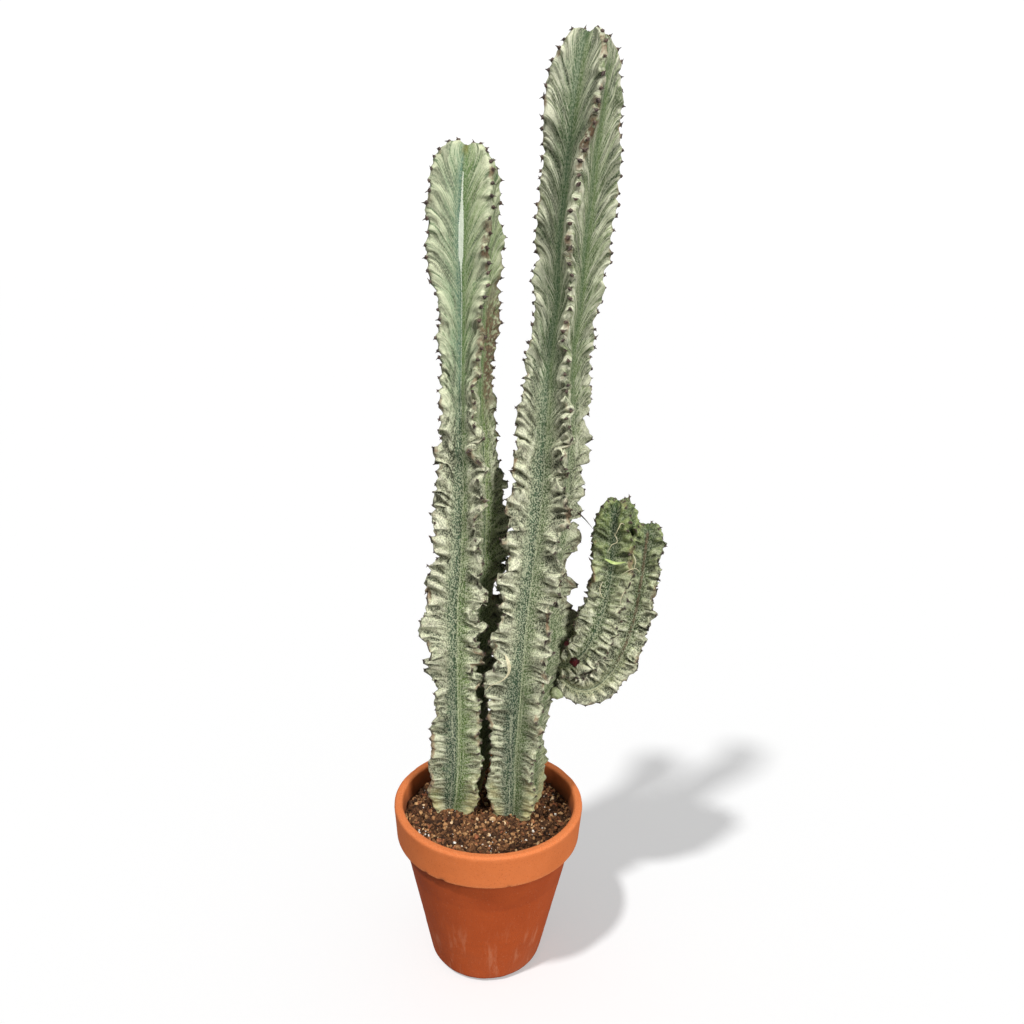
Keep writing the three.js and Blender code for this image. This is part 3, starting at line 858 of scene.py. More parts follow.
# %% [markdown]
# ## Skin colour
# The skin is a waxy green with cream variegation. Its pattern hangs on the ribs: bluish in the furrow,
# sage on the flank, cream at the margin, with thin cream lines that follow the folds. Lower down it
# turns beige and grey, speckled with dark and pale grains, with painted shade in olive in the valleys
# between folds. Colour by height and by place on the rib comes from the numbers stored on the mesh,
# because a plain texture in space would cut straight across the ribs instead of following them.

# %% Colours of the skin
CREAM = paint(214, 218, 182)
PALE_CREAM = paint(222, 222, 194)
VEIN_GREEN = paint(62, 84, 54)
DEEP_OLIVE = paint(48, 54, 36)
DARK_FLECK = paint(56, 60, 44)
BEIGE = paint(196, 190, 164)
SCAR_WHITE = paint(220, 228, 208)
FOOT_CREAM = paint(204, 196, 138)
FOOT_GREEN = paint(128, 134, 78)
CORK = paint(134, 108, 82)
# Dark cork, and painted shade on ribs that lie in shade.
CORK_AND_SHADE_BROWN = paint(80, 58, 38)
FURROW_GREEN = paint(44, 72, 50)
SPINE_BROWN = paint(52, 40, 36)
for tone_name, tone in (("cream", CREAM), ("beige", BEIGE), ("deep olive", DEEP_OLIVE)):
    print(tone_name, [round(part, 2) for part in tone[:3]])

# %% Numbers and masks that every layer of the skin reads
STORED = ("across", "side", "rib", "phase", "height", "fold", "tip", "dome", "warm", "scar", "cork")
LOW_FROM, LOW_TO = 370.0, 280.0
FOOT_FROM, FOOT_TO = 230.0, 165.0
EDGE_DRIFT = 0.55
AGE_DRIFT = 130.0


def streak(nodes, at, shift, wave, run, cover):
    """Lines that follow the folds. Another shift gives another set of lines."""
    return nodes.use(streaks, Phase=at.phase, Across=at.across, Rib=nodes.plus(at.rib, shift), Wave=wave,
                     Run=run, Cover=cover)["Mask"]


def read_skin(nodes, old_from, old_to):
    """How far out on the rib, with a wandering edge, and how old the skin is here."""
    at = SimpleNamespace(place=nodes.place(), **{label: nodes.stored(label) for label in STORED})
    at.cloud = nodes.use(grime, Place=at.place, Scale=42.0)
    at.drift = nodes.minus(at.cloud["Cloud"], 0.5)
    at.reach = nodes.plus(at.across, nodes.times(at.drift, EDGE_DRIFT))
    at.outer = nodes.ease(at.reach, 0.3, 0.85)
    age_height = nodes.plus(at.height, nodes.times(at.drift, AGE_DRIFT))
    at.old = nodes.ease(age_height, old_to, old_from)
    at.new = nodes.minus(1.0, at.old)
    at.low = nodes.ease(age_height, LOW_FROM, LOW_TO)
    at.not_lowest = nodes.minus(1.0, nodes.times(at.low, 0.4))
    at.foot = nodes.ease(age_height, FOOT_FROM, FOOT_TO)
    at.fine = streak(nodes, at, 0.0, 2.5, 1.3, 0.44)
    at.broad = streak(nodes, at, 0.0, 6.0, 1.2, 0.54)
    long_place = nodes.stretch(at.place, 1.0, 1.0, 0.6)
    at.dark = fleck(nodes, long_place, 740.0, 0.46, 0.06)
    at.pale = fleck(nodes, long_place, 860.0, 0.42, 0.06)
    return at


print("the skin reads", ", ".join(STORED))

# %% [markdown]
# ## Layers of the skin
# The colour is painted in layers, as a model maker would do it: ground tones first, then the lines
# along the folds, then shading in the folds, then marks and speckles. Each layer is a short function
# that takes the colour so far and mixes its own over it by a mask. One long tree would give the same
# picture, but a single layer could not be found or changed in it.


# %% Ground tones and the lines along the folds
def ground_tones(nodes, at, tones):
    """Furrow, inner flank, outer flank and margin, for young skin, worn skin and the lowest skin."""
    young = nodes.ramp(at.reach, tuple(zip((0.06, 0.26, 0.6, 0.95), tones["young"])))
    worn = nodes.ramp(at.reach, tuple(zip((0.14, 0.3, 0.46, 0.8), tones["worn"])))
    lowest = nodes.ramp(at.reach, tuple(zip((0.26, 0.42, 0.62, 0.9), tones["lowest"])))
    colour = nodes.mix(at.old, young, nodes.mix(at.low, worn, lowest))
    return nodes.mix(nodes.times(at.warm, 0.72), colour, tones["warm"])


def fold_lines(nodes, at, colour, tones):
    """Green veins, dark and pale strokes on old skin, and cream hairs, lines and wedges."""
    on_flank = nodes.ease(at.across, 0.08, 0.34)
    veins = streak(nodes, at, 5.0, 3.4, 1.0, 0.5)
    vein_share = nodes.times(veins, on_flank, nodes.plus(0.35, nodes.times(at.new, 0.5)))
    colour = nodes.mix(vein_share, colour, tones["vein"])
    mid_flank = nodes.times(nodes.ease(at.reach, 0.2, 0.5), at.old)
    dark_strokes = streak(nodes, at, 14.0, 1.9, 2.0, 0.44)
    colour = nodes.mix(nodes.times(dark_strokes, mid_flank, 0.6), colour, DEEP_OLIVE)
    pale_strokes = streak(nodes, at, 9.0, 1.7, 2.4, 0.42)
    colour = nodes.mix(nodes.times(pale_strokes, mid_flank, at.not_lowest, 0.6), colour, PALE_CREAM)

    hair = streak(nodes, at, 21.0, 1.5, 2.2, 0.46)
    hairs = nodes.times(hair, nodes.ease(at.across, 0.08, 0.26), at.new, 0.64)
    lines = nodes.times(at.fine, on_flank, nodes.plus(0.5, nodes.times(at.outer, 0.5)))
    cream_lines = nodes.either(lines, hairs, nodes.times(at.broad, at.outer, 0.95))
    not_low = nodes.minus(1.0, nodes.times(at.low, nodes.ease(at.reach, 0.6, 0.4)))
    faded = nodes.plus(0.6, nodes.times(nodes.ease(at.cloud["Cloud"], 0.36, 0.56), 0.4))
    share = nodes.times(cream_lines, not_low, faded, at.not_lowest, tones["cream share"])
    return nodes.mix(share, colour, nodes.mix(at.old, tones["cream"], CREAM))


print("layers:", ground_tones.__name__, fold_lines.__name__)


# %% Shading in the folds and lines in the furrow
def fold_shading(nodes, at, colour, tones):
    """Painted shade darkens the valleys of the folds, and the ridges are paler: partly cream skin and partly
    painted highlight.
    """
    valley_shade = nodes.ease(at.fold, 0.04, -0.3)
    colour = nodes.mix(nodes.times(valley_shade, nodes.plus(0.5, nodes.times(at.old, 0.4))), colour, DEEP_OLIVE)
    ridge = nodes.ease(at.fold, 0.1, 0.5)
    ridge_cream_and_highlight = nodes.times(ridge, nodes.plus(0.3, nodes.times(at.old, 0.45)), at.not_lowest)
    return nodes.mix(ridge_cream_and_highlight, colour, nodes.mix(at.old, tones["cream"], PALE_CREAM))


def furrow_lines(nodes, at, colour):
    """Fine lines run up the furrow, with a dark midline and a broken pale line beside it."""
    stripes = nodes.add("ShaderNodeCombineXYZ", 0, None, X=nodes.times(at.side, 22.0),
                        Y=nodes.times(at.height, 0.012), Z=nodes.times(at.rib, 7.3))
    stripes = nodes.noise(stripes, 1.0, 2.0, 0.5)
    in_furrow = nodes.ease(at.across, 0.42, 0.2)
    midline = nodes.ease(nodes.plus(at.across, nodes.times(at.drift, 0.1)), 0.075, 0.03)
    beside_it = nodes.times(nodes.ease(at.side, -0.03, -0.06), nodes.ease(at.side, -0.14, -0.1))
    broken = nodes.plus(0.25, nodes.times(nodes.ease(at.cloud["Grain"], 0.4, 0.6), 0.75))
    for mask, young_share, old_share, tone in (
            (nodes.times(nodes.ease(stripes, 0.56, 0.62), in_furrow), 0.12, 0.2, CREAM),
            (nodes.times(nodes.ease(stripes, 0.47, 0.4), in_furrow), 0.2, 0.5, VEIN_GREEN),
            (nodes.times(beside_it, broken), 0.0, 0.45, CREAM),
            (midline, 0.25, 0.45, FURROW_GREEN)):
        share = nodes.plus(young_share, nodes.times(at.old, old_share))
        colour = nodes.mix(nodes.times(mask, share), colour, tone)
    return colour


print("layers:", fold_shading.__name__, furrow_lines.__name__)


# %% Speckles, scar, cork, painted shade and tips
def speckles(nodes, at, colour):
    """Dark and pale grains, dense on old skin and faint on young skin."""
    coarse = fleck(nodes, at.place, 240.0, 0.4, 0.12)
    speckled = nodes.times(at.old, nodes.minus(1.0, nodes.times(at.low, 0.6)))
    colour = nodes.mix(nodes.times(coarse, speckled, at.outer, 0.3), colour, BEIGE)
    dark_share = nodes.plus(0.08, nodes.times(speckled, 0.42))
    colour = nodes.mix(nodes.times(at.dark, dark_share), colour, DARK_FLECK)
    pale_share = nodes.plus(0.2, nodes.times(speckled, 0.26))
    return nodes.mix(nodes.times(at.pale, pale_share), colour, CREAM)


def scar_cork_and_shade(nodes, at, colour, tones):
    """A dried wound's scar, yellowish feet, cork on worn margins, painted shade on ribs in shade, tooth tips
    and growing tips.

    The stored scar number is how wide the scar is at this height.
    """
    rough_edge = nodes.times(nodes.minus(at.cloud["Grain"], 0.5), 0.1)
    inside_scar = nodes.minus(nodes.plus(at.scar, rough_edge), at.across)
    colour = nodes.mix(nodes.times(nodes.ease(inside_scar, 0.0, 0.015), 0.9), colour, SCAR_WHITE)
    foot_tone = nodes.mix(at.broad, FOOT_CREAM, FOOT_GREEN)
    colour = nodes.mix(nodes.times(at.foot, at.outer, 0.6), colour, foot_tone)
    colour = nodes.mix(nodes.times(nodes.ease(at.across, 0.9, 0.97), at.cloud["Patch"], 0.8), colour, CORK)
    lumpy = fleck(nodes, at.place, 260.0, 0.5)
    # Cork on worn margins, and painted shade in dark brown where a rib lies in shade.
    cork_and_shade_patch = nodes.times(at.cork, nodes.plus(0.25, nodes.times(lumpy, 0.7)))
    colour = nodes.mix(cork_and_shade_patch, colour, nodes.mix(nodes.times(at.dark, 0.6), CORK_AND_SHADE_BROWN, CORK))
    colour = nodes.mix(nodes.ease(at.tip, 0.25, 0.7), colour, SPINE_BROWN)
    # The growing tip and the furrows just below it take the bud tone. On the centre stem that tone is a dark
    # green of painted shade on its growing point.
    tip_furrow = nodes.times(nodes.ease(at.dome, 0.14, 0.34), nodes.ease(at.across, 0.24, 0.08), 0.75)
    bud = nodes.either(nodes.ease(at.dome, 0.9, 0.975), tip_furrow)
    return nodes.mix(nodes.times(bud, 0.85), colour, tones["bud"])


print("layers:", speckles.__name__, scar_cork_and_shade.__name__)


# %% The three skins
def skin_material(name, tones):
    """The skin of a stem. Its tones give the furrow, inner flank, outer flank and margin."""
    material, nodes, skin = new_material(name)
    at = read_skin(nodes, *tones["ageing"])
    colour = ground_tones(nodes, at, tones)
    colour = fold_lines(nodes, at, colour, tones)
    colour = fold_shading(nodes, at, colour, tones)
    colour = furrow_lines(nodes, at, colour)
    colour = speckles(nodes, at, colour)
    colour = scar_cork_and_shade(nodes, at, colour, tones)
    nodes.feed(skin["Base Color"], colour)
    nodes.feed(skin["Roughness"], nodes.plus(0.52, nodes.times(at.old, 0.14), nodes.times(at.dark, 0.08)))
    relief = nodes.plus(nodes.times(at.fine, 0.6), nodes.times(at.cloud["Grain"], 0.9),
                        nodes.times(at.pale, 0.5))
    nodes.feed(skin["Normal"], nodes.bump(relief, 0.0008, 0.6))
    skin["Specular IOR Level"].default_value = 0.35
    return material


TALL_TONES = {
    "worn": (paint(70, 94, 70), paint(98, 112, 84), paint(146, 146, 118), paint(206, 200, 176)),
    "lowest": (paint(40, 62, 48), paint(45, 65, 49), paint(70, 77, 57), paint(140, 138, 108)),
    "ageing": (540.0, 660.0),
}
stem_skin = skin_material("stem_skin", {
    **TALL_TONES, "cream": CREAM, "cream share": 0.9, "bud": paint(112, 108, 40),
    "young": (paint(92, 124, 102), paint(118, 144, 110), paint(154, 170, 134), paint(190, 196, 162)),
    "warm": paint(98, 124, 50), "vein": paint(72, 102, 60)})
dark_stem_skin = skin_material("dark_stem_skin", {
    # The dark green bud tone is painted shade on this stem's growing point.
    **TALL_TONES, "cream": PALE_CREAM, "cream share": 1.0, "bud": paint(52, 76, 36),
    "young": (paint(74, 100, 66), paint(66, 92, 48), paint(92, 110, 74), paint(160, 166, 130)),
    "warm": paint(96, 116, 62), "vein": paint(40, 62, 30)})
branch_skin = skin_material("branch_skin", {
    "young": (paint(22, 44, 14), paint(36, 60, 18), paint(58, 79, 30), paint(92, 107, 53)),
    "worn": (paint(62, 82, 42), paint(94, 110, 60), paint(134, 142, 96), paint(188, 188, 150)),
    "lowest": (paint(152, 151, 113), paint(188, 184, 146), paint(217, 211, 180), paint(234, 228, 206)),
    "ageing": (380.0, 480.0), "cream": paint(150, 161, 98), "cream share": 0.6, "bud": paint(60, 84, 32),
    "warm": paint(112, 124, 66), "vein": paint(44, 66, 26)})
print("skins:", stem_skin.name, dark_stem_skin.name, branch_skin.name)

# %% [markdown]
# ## Teeth and spines
# Each tooth on a margin ends in a dark horny shield with a pair of short spines that spread apart. They
# are separate little solids here, sunk a little into the tooth. Hair particles could stand in for
# spines, but then they would not be part of the exported mesh. All the spines of a stem are one piece.

# %% Spine shapes
SPINE_SIDES = 6
SPINE_RINGS = 4
SPINE_LENGTH = 3.4
SPINE_RADIUS = 0.85
SPINES_LOST = 0.12
SHIELD_SIZE = np.array([1.5, 2.1, 1.8])
ball_points, ball_faces = ball_shape(1)


def thorn(seat, way, bend, length, radius):
    """A curved cone from seat along way, bending towards bend: its points and faces."""
    first = unit(np.cross(way, bend))
    second = np.cross(way, first)
    turns = np.linspace(0, 2 * math.pi, SPINE_SIDES, endpoint=False)
    points = []
    for ring in range(SPINE_RINGS):
        share = ring / SPINE_RINGS
        middle = seat + way * length * share + bend * length * 0.25 * share**2
        width = radius * (1 - share) ** 0.8
        points += [middle + width * (math.cos(t) * first + math.sin(t) * second) for t in turns]
    points.append(seat + way * length + bend * length * 0.25)
    faces = ring_faces(SPINE_RINGS, SPINE_SIDES)
    last = (SPINE_RINGS - 1) * SPINE_SIDES
    faces += [(last + k, last + (k + 1) % SPINE_SIDES, len(points) - 1) for k in range(SPINE_SIDES)]
    faces.append(tuple(range(SPINE_SIDES))[::-1])
    return np.array(points), faces


def add_spines(pile, thorns, rng):
    """A shield and a pair of spines for each tooth."""
    for seat, outward, crosswise, size in thorns:
        size = size * rng.uniform(0.75, 1.2)
        upward = unit(np.cross(crosswise, outward))
        upward = upward if upward[2] > 0 else -upward
        spin = rng.uniform(-0.9, 0.9)
        spread = math.cos(spin) * crosswise + math.sin(spin) * upward
        frame_axes = np.array([outward, spread, np.cross(outward, spread)])
        uneven = 1 + 0.15 * rng.uniform(-1, 1, (len(ball_points), 1))
        shield = (ball_points * uneven * SHIELD_SIZE * size) @ frame_axes
        tone = rng.uniform(0, 1)
        pile.add(seat + shield - outward * 0.3, ball_faces, tone)
        for way in (-1, 1):
            if rng.uniform() < SPINES_LOST:
                continue
            forward = outward * rng.uniform(0.5, 0.9)
            heading = forward + way * spread * 0.8 + upward * rng.uniform(-0.15, 0.25)
            length = SPINE_LENGTH * size * rng.uniform(0.7, 1.2)
            bend = unit(way * spread - outward * 0.3)
            pile.add(*thorn(seat, unit(heading), bend, length, SPINE_RADIUS * size), tone)


spine_horn, nodes, horn = new_material("spine_horn")
place = nodes.place()
grain = nodes.noise(place, 1400.0, 2.0)
shade = nodes.mix(nodes.stored("tone"), paint(48, 36, 34), paint(78, 58, 48))
grey = fleck(nodes, place, 900.0, 0.4)
nodes.feed(horn["Base Color"], nodes.mix(nodes.times(grey, 0.35), shade, paint(128, 110, 94)))
nodes.feed(horn["Roughness"], nodes.plus(0.45, nodes.times(grain, 0.25)))
nodes.feed(horn["Normal"], nodes.bump(grain, 0.0003, 0.5))
print("spine shapes ready")

# %% [markdown]
# ## The two tall stems
# Both stems come from the same builder with their own stations, dome and seed. The centre stem's rib
# that bears the branch swells out around the joint. The left stem has a whitish scar in its front
# furrow, which is only a stored number that the skin material reads.

# %% Warm flanks, painted light on lobes, scar, cork and painted shade
WARM_TURN = math.radians(10)
LEFT_TIP = LEFT_STEM[-1][2]
SCAR_BELOW = (20, 28, 50, 62, 74, 98, 104, 112, 240, 300)
SCAR_WIDTH = (-0.1, 0.02, 0.036, 0.07, 0.09, 0.085, 0.05, 0.02, 0.014, -0.1)
FRONT_FURROW = 2.5


def panel_warmth(numbers, stations, warm_from, warm_to):
    """How yellow each point's flank is: flanks that face right of the front are warmer."""
    turn = np.interp(numbers["height"], [s[2] for s in stations], [s[4] for s in stations])
    bearing = np.radians(turn) + (numbers["rib"] + 0.5 * numbers["side"]) * RIB_TURN
    return ease(warm_from, warm_to, np.cos(bearing + WARM_TURN))


def lobe_tint_and_painted_light(numbers, lobes):
    """Yellow-green lobes of one rib, between two heights: partly their own colour and partly painted light
    that lifts the shade on them.
    """
    if lobes is None:
        return 0.0
    number, foot, top = lobes
    height = numbers["height"]
    return (numbers["rib"] == number) * ease(foot - 20, foot + 20, height) * ease(top + 20, top - 20, height)


def left_scar(numbers):
    """How wide the scar is in the furrow that faces the front, by the distance below the tip."""
    rib_before = np.mod(numbers["rib"] + 0.5 * np.sign(numbers["side"]), RIBS)
    front = (np.abs(rib_before - FRONT_FURROW) < 0.6) | (numbers["across"] < 0.01)
    return np.where(front, np.interp(LEFT_TIP - numbers["height"], SCAR_BELOW, SCAR_WIDTH), -1.0)


def cork_and_painted_shade(numbers, patches):
    """How corky or shaded the skin is: each patch has a rib, a height, a half length, a strength and a
    start.

    The start is how far out on the rib it begins. A patch that begins low lies on one flank only. Some
    patches are cork on worn margins, and others are painted shade where a rib lies in shade.
    """
    total = np.zeros(len(numbers["rib"]))
    for number, place, wide, strength, start in patches:
        near = strength * np.exp(-(((numbers["height"] - place) / wide) ** 4))
        near = near * ease(start, start + 0.23, numbers["across"])
        there = (numbers["rib"] == number) & ((start > 0.5) | (numbers["side"] < 0))
        total = np.maximum(total, there * near)
    return total


print("the scar runs down past", SCAR_BELOW[-2], "mm below the tip")


# %% Ribs that reach further than the model's
def bumps(values, table):
    """A sum of swellings: each row of the table gives a place, a half width and a height."""
    return sum(rise * np.exp(-(((values - place) / wide) ** 2)) for place, wide, rise in table)


def left_shape(height):
    """How much further than the model's each rib of the left stem reaches, by height."""
    inner = 12 * ease(180, 225, height) * ease(545, 480, height) + bumps(height, ((370, 24, 16),))
    outer = 2.5 * ease(690, 730, height)
    nothing = np.zeros_like(height)
    return np.stack((inner, nothing, outer, nothing), axis=1)


def centre_shape(height):
    """The same for the centre stem: its first rib bears the branch, and its left ribs reach out more."""
    bearing = bumps(height, ((372, 62, 14), (312, 20, 8), (362, 26, 13), (350, 14, 8)))
    inner = 10 * ease(180, 225, height) * ease(545, 480, height) + bumps(height, ((370, 24, 17),))
    left = 2 * ease(480, 520, height) * ease(860, 820, height) + bumps(height, ((738, 8, -5), (718, 10, 3)))
    return np.stack((bearing, inner, left, np.zeros_like(height)), axis=1)


print("the centre stem's first rib swells out by", round(float(centre_shape(np.array([362.0]))[0, 0])), "mm")

# %% Grow the tall stems
BURIED_START = 26.0
# Painted light: rib 0 of the left stem between these heights is painted yellow-green, brighter than its
# shade.
LEFT_LIT_LOBES = (0, 440, 600)
# Rows on rib 3 are cork on worn margins. Rows on rib 0 are painted shade: dark brown where that rib lies in
# shade.
LEFT_CORK_AND_SHADE = ((3, 758, 12, 0.8, 0.72), (3, 742, 6, 1.0, 0.72), (3, 660, 30, 0.6, 0.72),
             (0, 690, 50, 0.8, 0.72), (0, 652, 56, 0.95, 0.1))
CENTRE_CORK_AND_SHADE = ((3, 838, 16, 1.0, 0.72), (3, 862, 6, 0.8, 0.72), (3, 742, 8, 0.7, 0.72),
               (0, 410, 80, 0.5, 0.72))


def stem_piece(name, node, stations, dome, seed, material, shape, cork, lobes=None, scar=None):
    """A tall stem with its stored numbers, flat map and spines, in place of its node of the model."""
    points, faces, numbers, thorns, rows = grow_stem(stations, BURIED_START, dome, TALL_TRAITS, seed, shape)
    piece = make_piece(name, points, faces, material)
    numbers["warm"] = panel_warmth(numbers, stations, -0.1, 0.5) + lobe_tint_and_painted_light(numbers, lobes)
    numbers["scar"] = scar(numbers) if scar else np.full(len(points), -1.0)
    numbers["cork"] = cork_and_painted_shade(numbers, cork)
    for label, values in numbers.items():
        store(piece, label, values)
    unroll(piece, [rows])
    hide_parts(node)
    spines = Pile()
    add_spines(spines, thorns, np.random.default_rng(seed + 50))
    spines.finish(name + "_spines", spine_horn)
    print(f"{name}: {rows} rows, {len(faces)} faces, {len(thorns)} teeth")


stem_piece("left_stem_skin", "left_stem", LEFT_STEM, (44, 2.3), 11, stem_skin,
           left_shape, LEFT_CORK_AND_SHADE, LEFT_LIT_LOBES, left_scar)
stem_piece("centre_stem_skin", "centre_stem", CENTRE_STEM, (66, 2.8), 23, dark_stem_skin,
           centre_shape, CENTRE_CORK_AND_SHADE)

# %% [markdown]
# ## The forked branch
# Low on the centre stem a side branch comes out and forks at once into two heads that rise beside each
# other. It is the same kind of stem, smaller and more crumpled. Each head is grown on its own and they
# are joined as one mesh, because they grow into each other where they fork.

# %% Grow the branch
BRANCH_PITCH = 7.5
points_back, faces_back, numbers_back, thorns_back, rows_back = grow_stem(
    BRANCH_BACK_HEAD, 0.0, (30, 2.2), BRANCH_TRAITS, 41, None, BRANCH_PITCH)
points_front, faces_front, numbers_front, thorns_front, rows_front = grow_stem(
    BRANCH_FRONT_HEAD, 0.0, (20, 2.2), BRANCH_TRAITS, 57, None, BRANCH_PITCH)
branch_points = np.vstack((points_back, points_front))
branch_faces = faces_back + [tuple(k + len(points_back) for k in face) for face in faces_front]
branch = make_piece("branch_skin_mesh", branch_points, branch_faces, branch_skin)
for label in numbers_back:
    store(branch, label, np.concatenate((numbers_back[label], numbers_front[label])))
for label, value in (("warm", 0.0), ("scar", -1.0)):
    store(branch, label, np.full(len(branch_points), value))
brown_furrow = 0.7 * ease(0.16, 0.05, numbers_front["across"]) * ease(320, 350, numbers_front["height"])
store(branch, "cork", np.concatenate((np.zeros(len(points_back)), brown_furrow)))
unroll(branch, [rows_back, rows_front])
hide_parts("branch_stem")
branch_spines = Pile()
add_spines(branch_spines, thorns_back + thorns_front, np.random.default_rng(91))
branch_spines.finish("branch_spines", spine_horn)
print("branch:", len(branch_faces), "faces")

# %% [markdown]
# ## Fired clay
# The pot is plain thrown terracotta. The clay is a warm orange that is darker and redder on the body
# than on the collar, with painted shade just under the collar. It carries fine throwing lines, pores and
# grit, a whitish bloom of salts that runs down the wall in streaks, scuffs on its edges, and an inner
# wall that darkens towards the soil.

# %% Clay material
COLLAR_TONE = paint(198, 106, 52)
BODY_TONE = paint(166, 70, 22)
DEEP_TONE = paint(134, 52, 16)
BLOOM = paint(216, 156, 120)
COLLAR_FOOT = 147.0

clay, nodes, skin = new_material("terracotta")
place = nodes.place()
height = nodes.times(nodes.add("ShaderNodeSeparateXYZ", 2, None, Vector=place), 1000.0)
cloud = nodes.use(grime, Place=place, Scale=26.0)
large = nodes.use(grime, Place=place, Scale=9.0)
on_collar = nodes.ease(height, COLLAR_FOOT - 1, COLLAR_FOOT + 1)
colour = nodes.mix(on_collar, BODY_TONE, COLLAR_TONE)
off_collar = nodes.minus(1.0, on_collar)
# Painted shade: the body darkens just under the collar, where the collar's shadow falls.
shade_under_collar = nodes.times(nodes.ease(height, COLLAR_FOOT - 14, COLLAR_FOOT - 1), off_collar)
colour = nodes.mix(nodes.times(shade_under_collar, 0.55), colour, DEEP_TONE)
damp_edge = nodes.plus(height, nodes.times(nodes.minus(large["Cloud"], 0.5), 26.0))
damp_band = nodes.times(nodes.ease(damp_edge, 104.0, 110.0), off_collar)
colour = nodes.mix(nodes.times(damp_band, 0.28), colour, DEEP_TONE)
mottle = nodes.ease(cloud["Cloud"], 0.35, 0.65)
light_clay = nodes.mix(on_collar, paint(178, 80, 30), paint(208, 118, 66))
dark_clay = nodes.mix(on_collar, DEEP_TONE, paint(182, 88, 40))
colour = nodes.mix(nodes.times(mottle, 0.3), colour, light_clay)
colour = nodes.mix(nodes.times(large["Patch"], 0.35), colour, dark_clay)

runs = nodes.noise(nodes.stretch(place, 1.0, 1.0, 0.09), 120.0, 3.0, 0.6)
run_mask = nodes.times(nodes.ease(runs, 0.52, 0.74), nodes.ease(height, 120.0, 20.0))
colour = nodes.mix(nodes.times(run_mask, 0.26), colour, BLOOM)
dusty = nodes.times(nodes.ease(large["Cloud"], 0.45, 0.7), nodes.ease(height, 70.0, 8.0))
colour = nodes.mix(nodes.times(dusty, 0.1), colour, BLOOM)
pores = fleck(nodes, place, 700.0, 0.2, 0.08)
grit = fleck(nodes, place, 480.0, 0.14, 0.06)
colour = nodes.mix(nodes.times(pores, 0.25), colour, DEEP_TONE)
colour = nodes.mix(nodes.times(grit, 0.1), colour, paint(220, 160, 120))
# The inner wall above the soil is darker brown towards the soil.
inside = nodes.stored("inside")
darker_towards_soil = nodes.times(inside, nodes.ease(nodes.plus(height, nodes.times(cloud["Cloud"], 24.0)), 196.0, 174.0))
colour = nodes.mix(nodes.times(darker_towards_soil, 0.7), colour, paint(92, 56, 36))
worn = nodes.times(nodes.stored("worn"), nodes.ease(cloud["Grain"], 0.42, 0.6))
colour = nodes.mix(nodes.times(worn, 0.3), colour, paint(226, 158, 112))
nodes.feed(skin["Base Color"], colour)
nodes.feed(skin["Roughness"], nodes.plus(0.72, nodes.times(cloud["Grain"], 0.2)))
rings = nodes.noise(nodes.stretch(place, 0.04, 0.04, 1.0), 900.0, 2.0, 0.6)
relief = nodes.plus(nodes.times(rings, 0.5), nodes.times(cloud["Grain"], 0.8), nodes.times(pores, -0.6))
nodes.feed(skin["Normal"], nodes.bump(relief, 0.0004, 0.4))
skin["Specular IOR Level"].default_value = 0.3
print("clay ready")

# %% [markdown]
# ## The pot
# A pot is thrown on a wheel, so a profile turned about the axis is the natural way to make it. Here the
# profile is written as radius and height, cut into short steps, and turned in many segments, then each
# point is moved a fraction of a millimetre by noise so that the wall is not machine-true. A Screw
# modifier would turn the profile too, but the small dents and chips need real points.

# %% The pot's profile
WALL, LIP_WIDTH, LIP_ROUND = 8.0, 9.0, 3.0
BODY_TOP, FOOT_RADIUS, FOOT_ROUND = 89.9, 59.3, 9.0
COLLAR_FOOT_RADIUS, FLOOR_THICKNESS, DRAIN_RADIUS = 97.6, 12.0, 11.0
COLLAR_ROUND = 1.8
PROFILE_STEP = 2.6


def arc(middle, radius, start, end, count):
    """Points on an arc of a profile, with its angles in degrees."""
    turns = np.radians(np.linspace(start, end, count))
    return [(middle[0] + radius * math.cos(t), middle[1] + radius * math.sin(t)) for t in turns]


def cut_short(profile, step):
    """The profile with its long stretches cut into steps."""
    points = [profile[0]]
    for start, end in zip(profile, profile[1:]):
        pieces = max(1, round(math.dist(start, end) / step))
        points += [tuple(np.add(start, np.subtract(end, start) * k / pieces)) for k in range(1, pieces + 1)]
    return np.array(points)


inner_lip = RIM_RADIUS - LIP_WIDTH
collar_middle = (COLLAR_FOOT_RADIUS - COLLAR_ROUND, COLLAR_FOOT + COLLAR_ROUND)
profile = [(DRAIN_RADIUS, 0.6), (DRAIN_RADIUS + 0.6, 0.0), (FOOT_RADIUS - 2 * FOOT_ROUND, 0.0)]
profile += arc((FOOT_RADIUS - FOOT_ROUND + 1.5, FOOT_ROUND), FOOT_ROUND, -90, -8, 9)
profile += arc((BODY_TOP - 0.6, COLLAR_FOOT - 1.2), 1.2, 0, 90, 3)
profile += arc(collar_middle, COLLAR_ROUND, -90, -2, 6)
profile += arc((RIM_RADIUS - LIP_ROUND, POT_HEIGHT - LIP_ROUND), LIP_ROUND, 2, 90, 8)
profile += arc((inner_lip + LIP_ROUND, POT_HEIGHT - LIP_ROUND), LIP_ROUND, 90, 178, 8)
profile += [(inner_lip - 0.6, COLLAR_FOOT + 6), (BODY_TOP - WALL, COLLAR_FOOT - 2)]
profile += [(FOOT_RADIUS - WALL, FLOOR_THICKNESS), (DRAIN_RADIUS + 0.6, FLOOR_THICKNESS)]
profile += [(DRAIN_RADIUS, FLOOR_THICKNESS - 0.6), (DRAIN_RADIUS, 0.6)]
profile = cut_short(profile, PROFILE_STEP)
print("profile of the pot:", len(profile), "points")

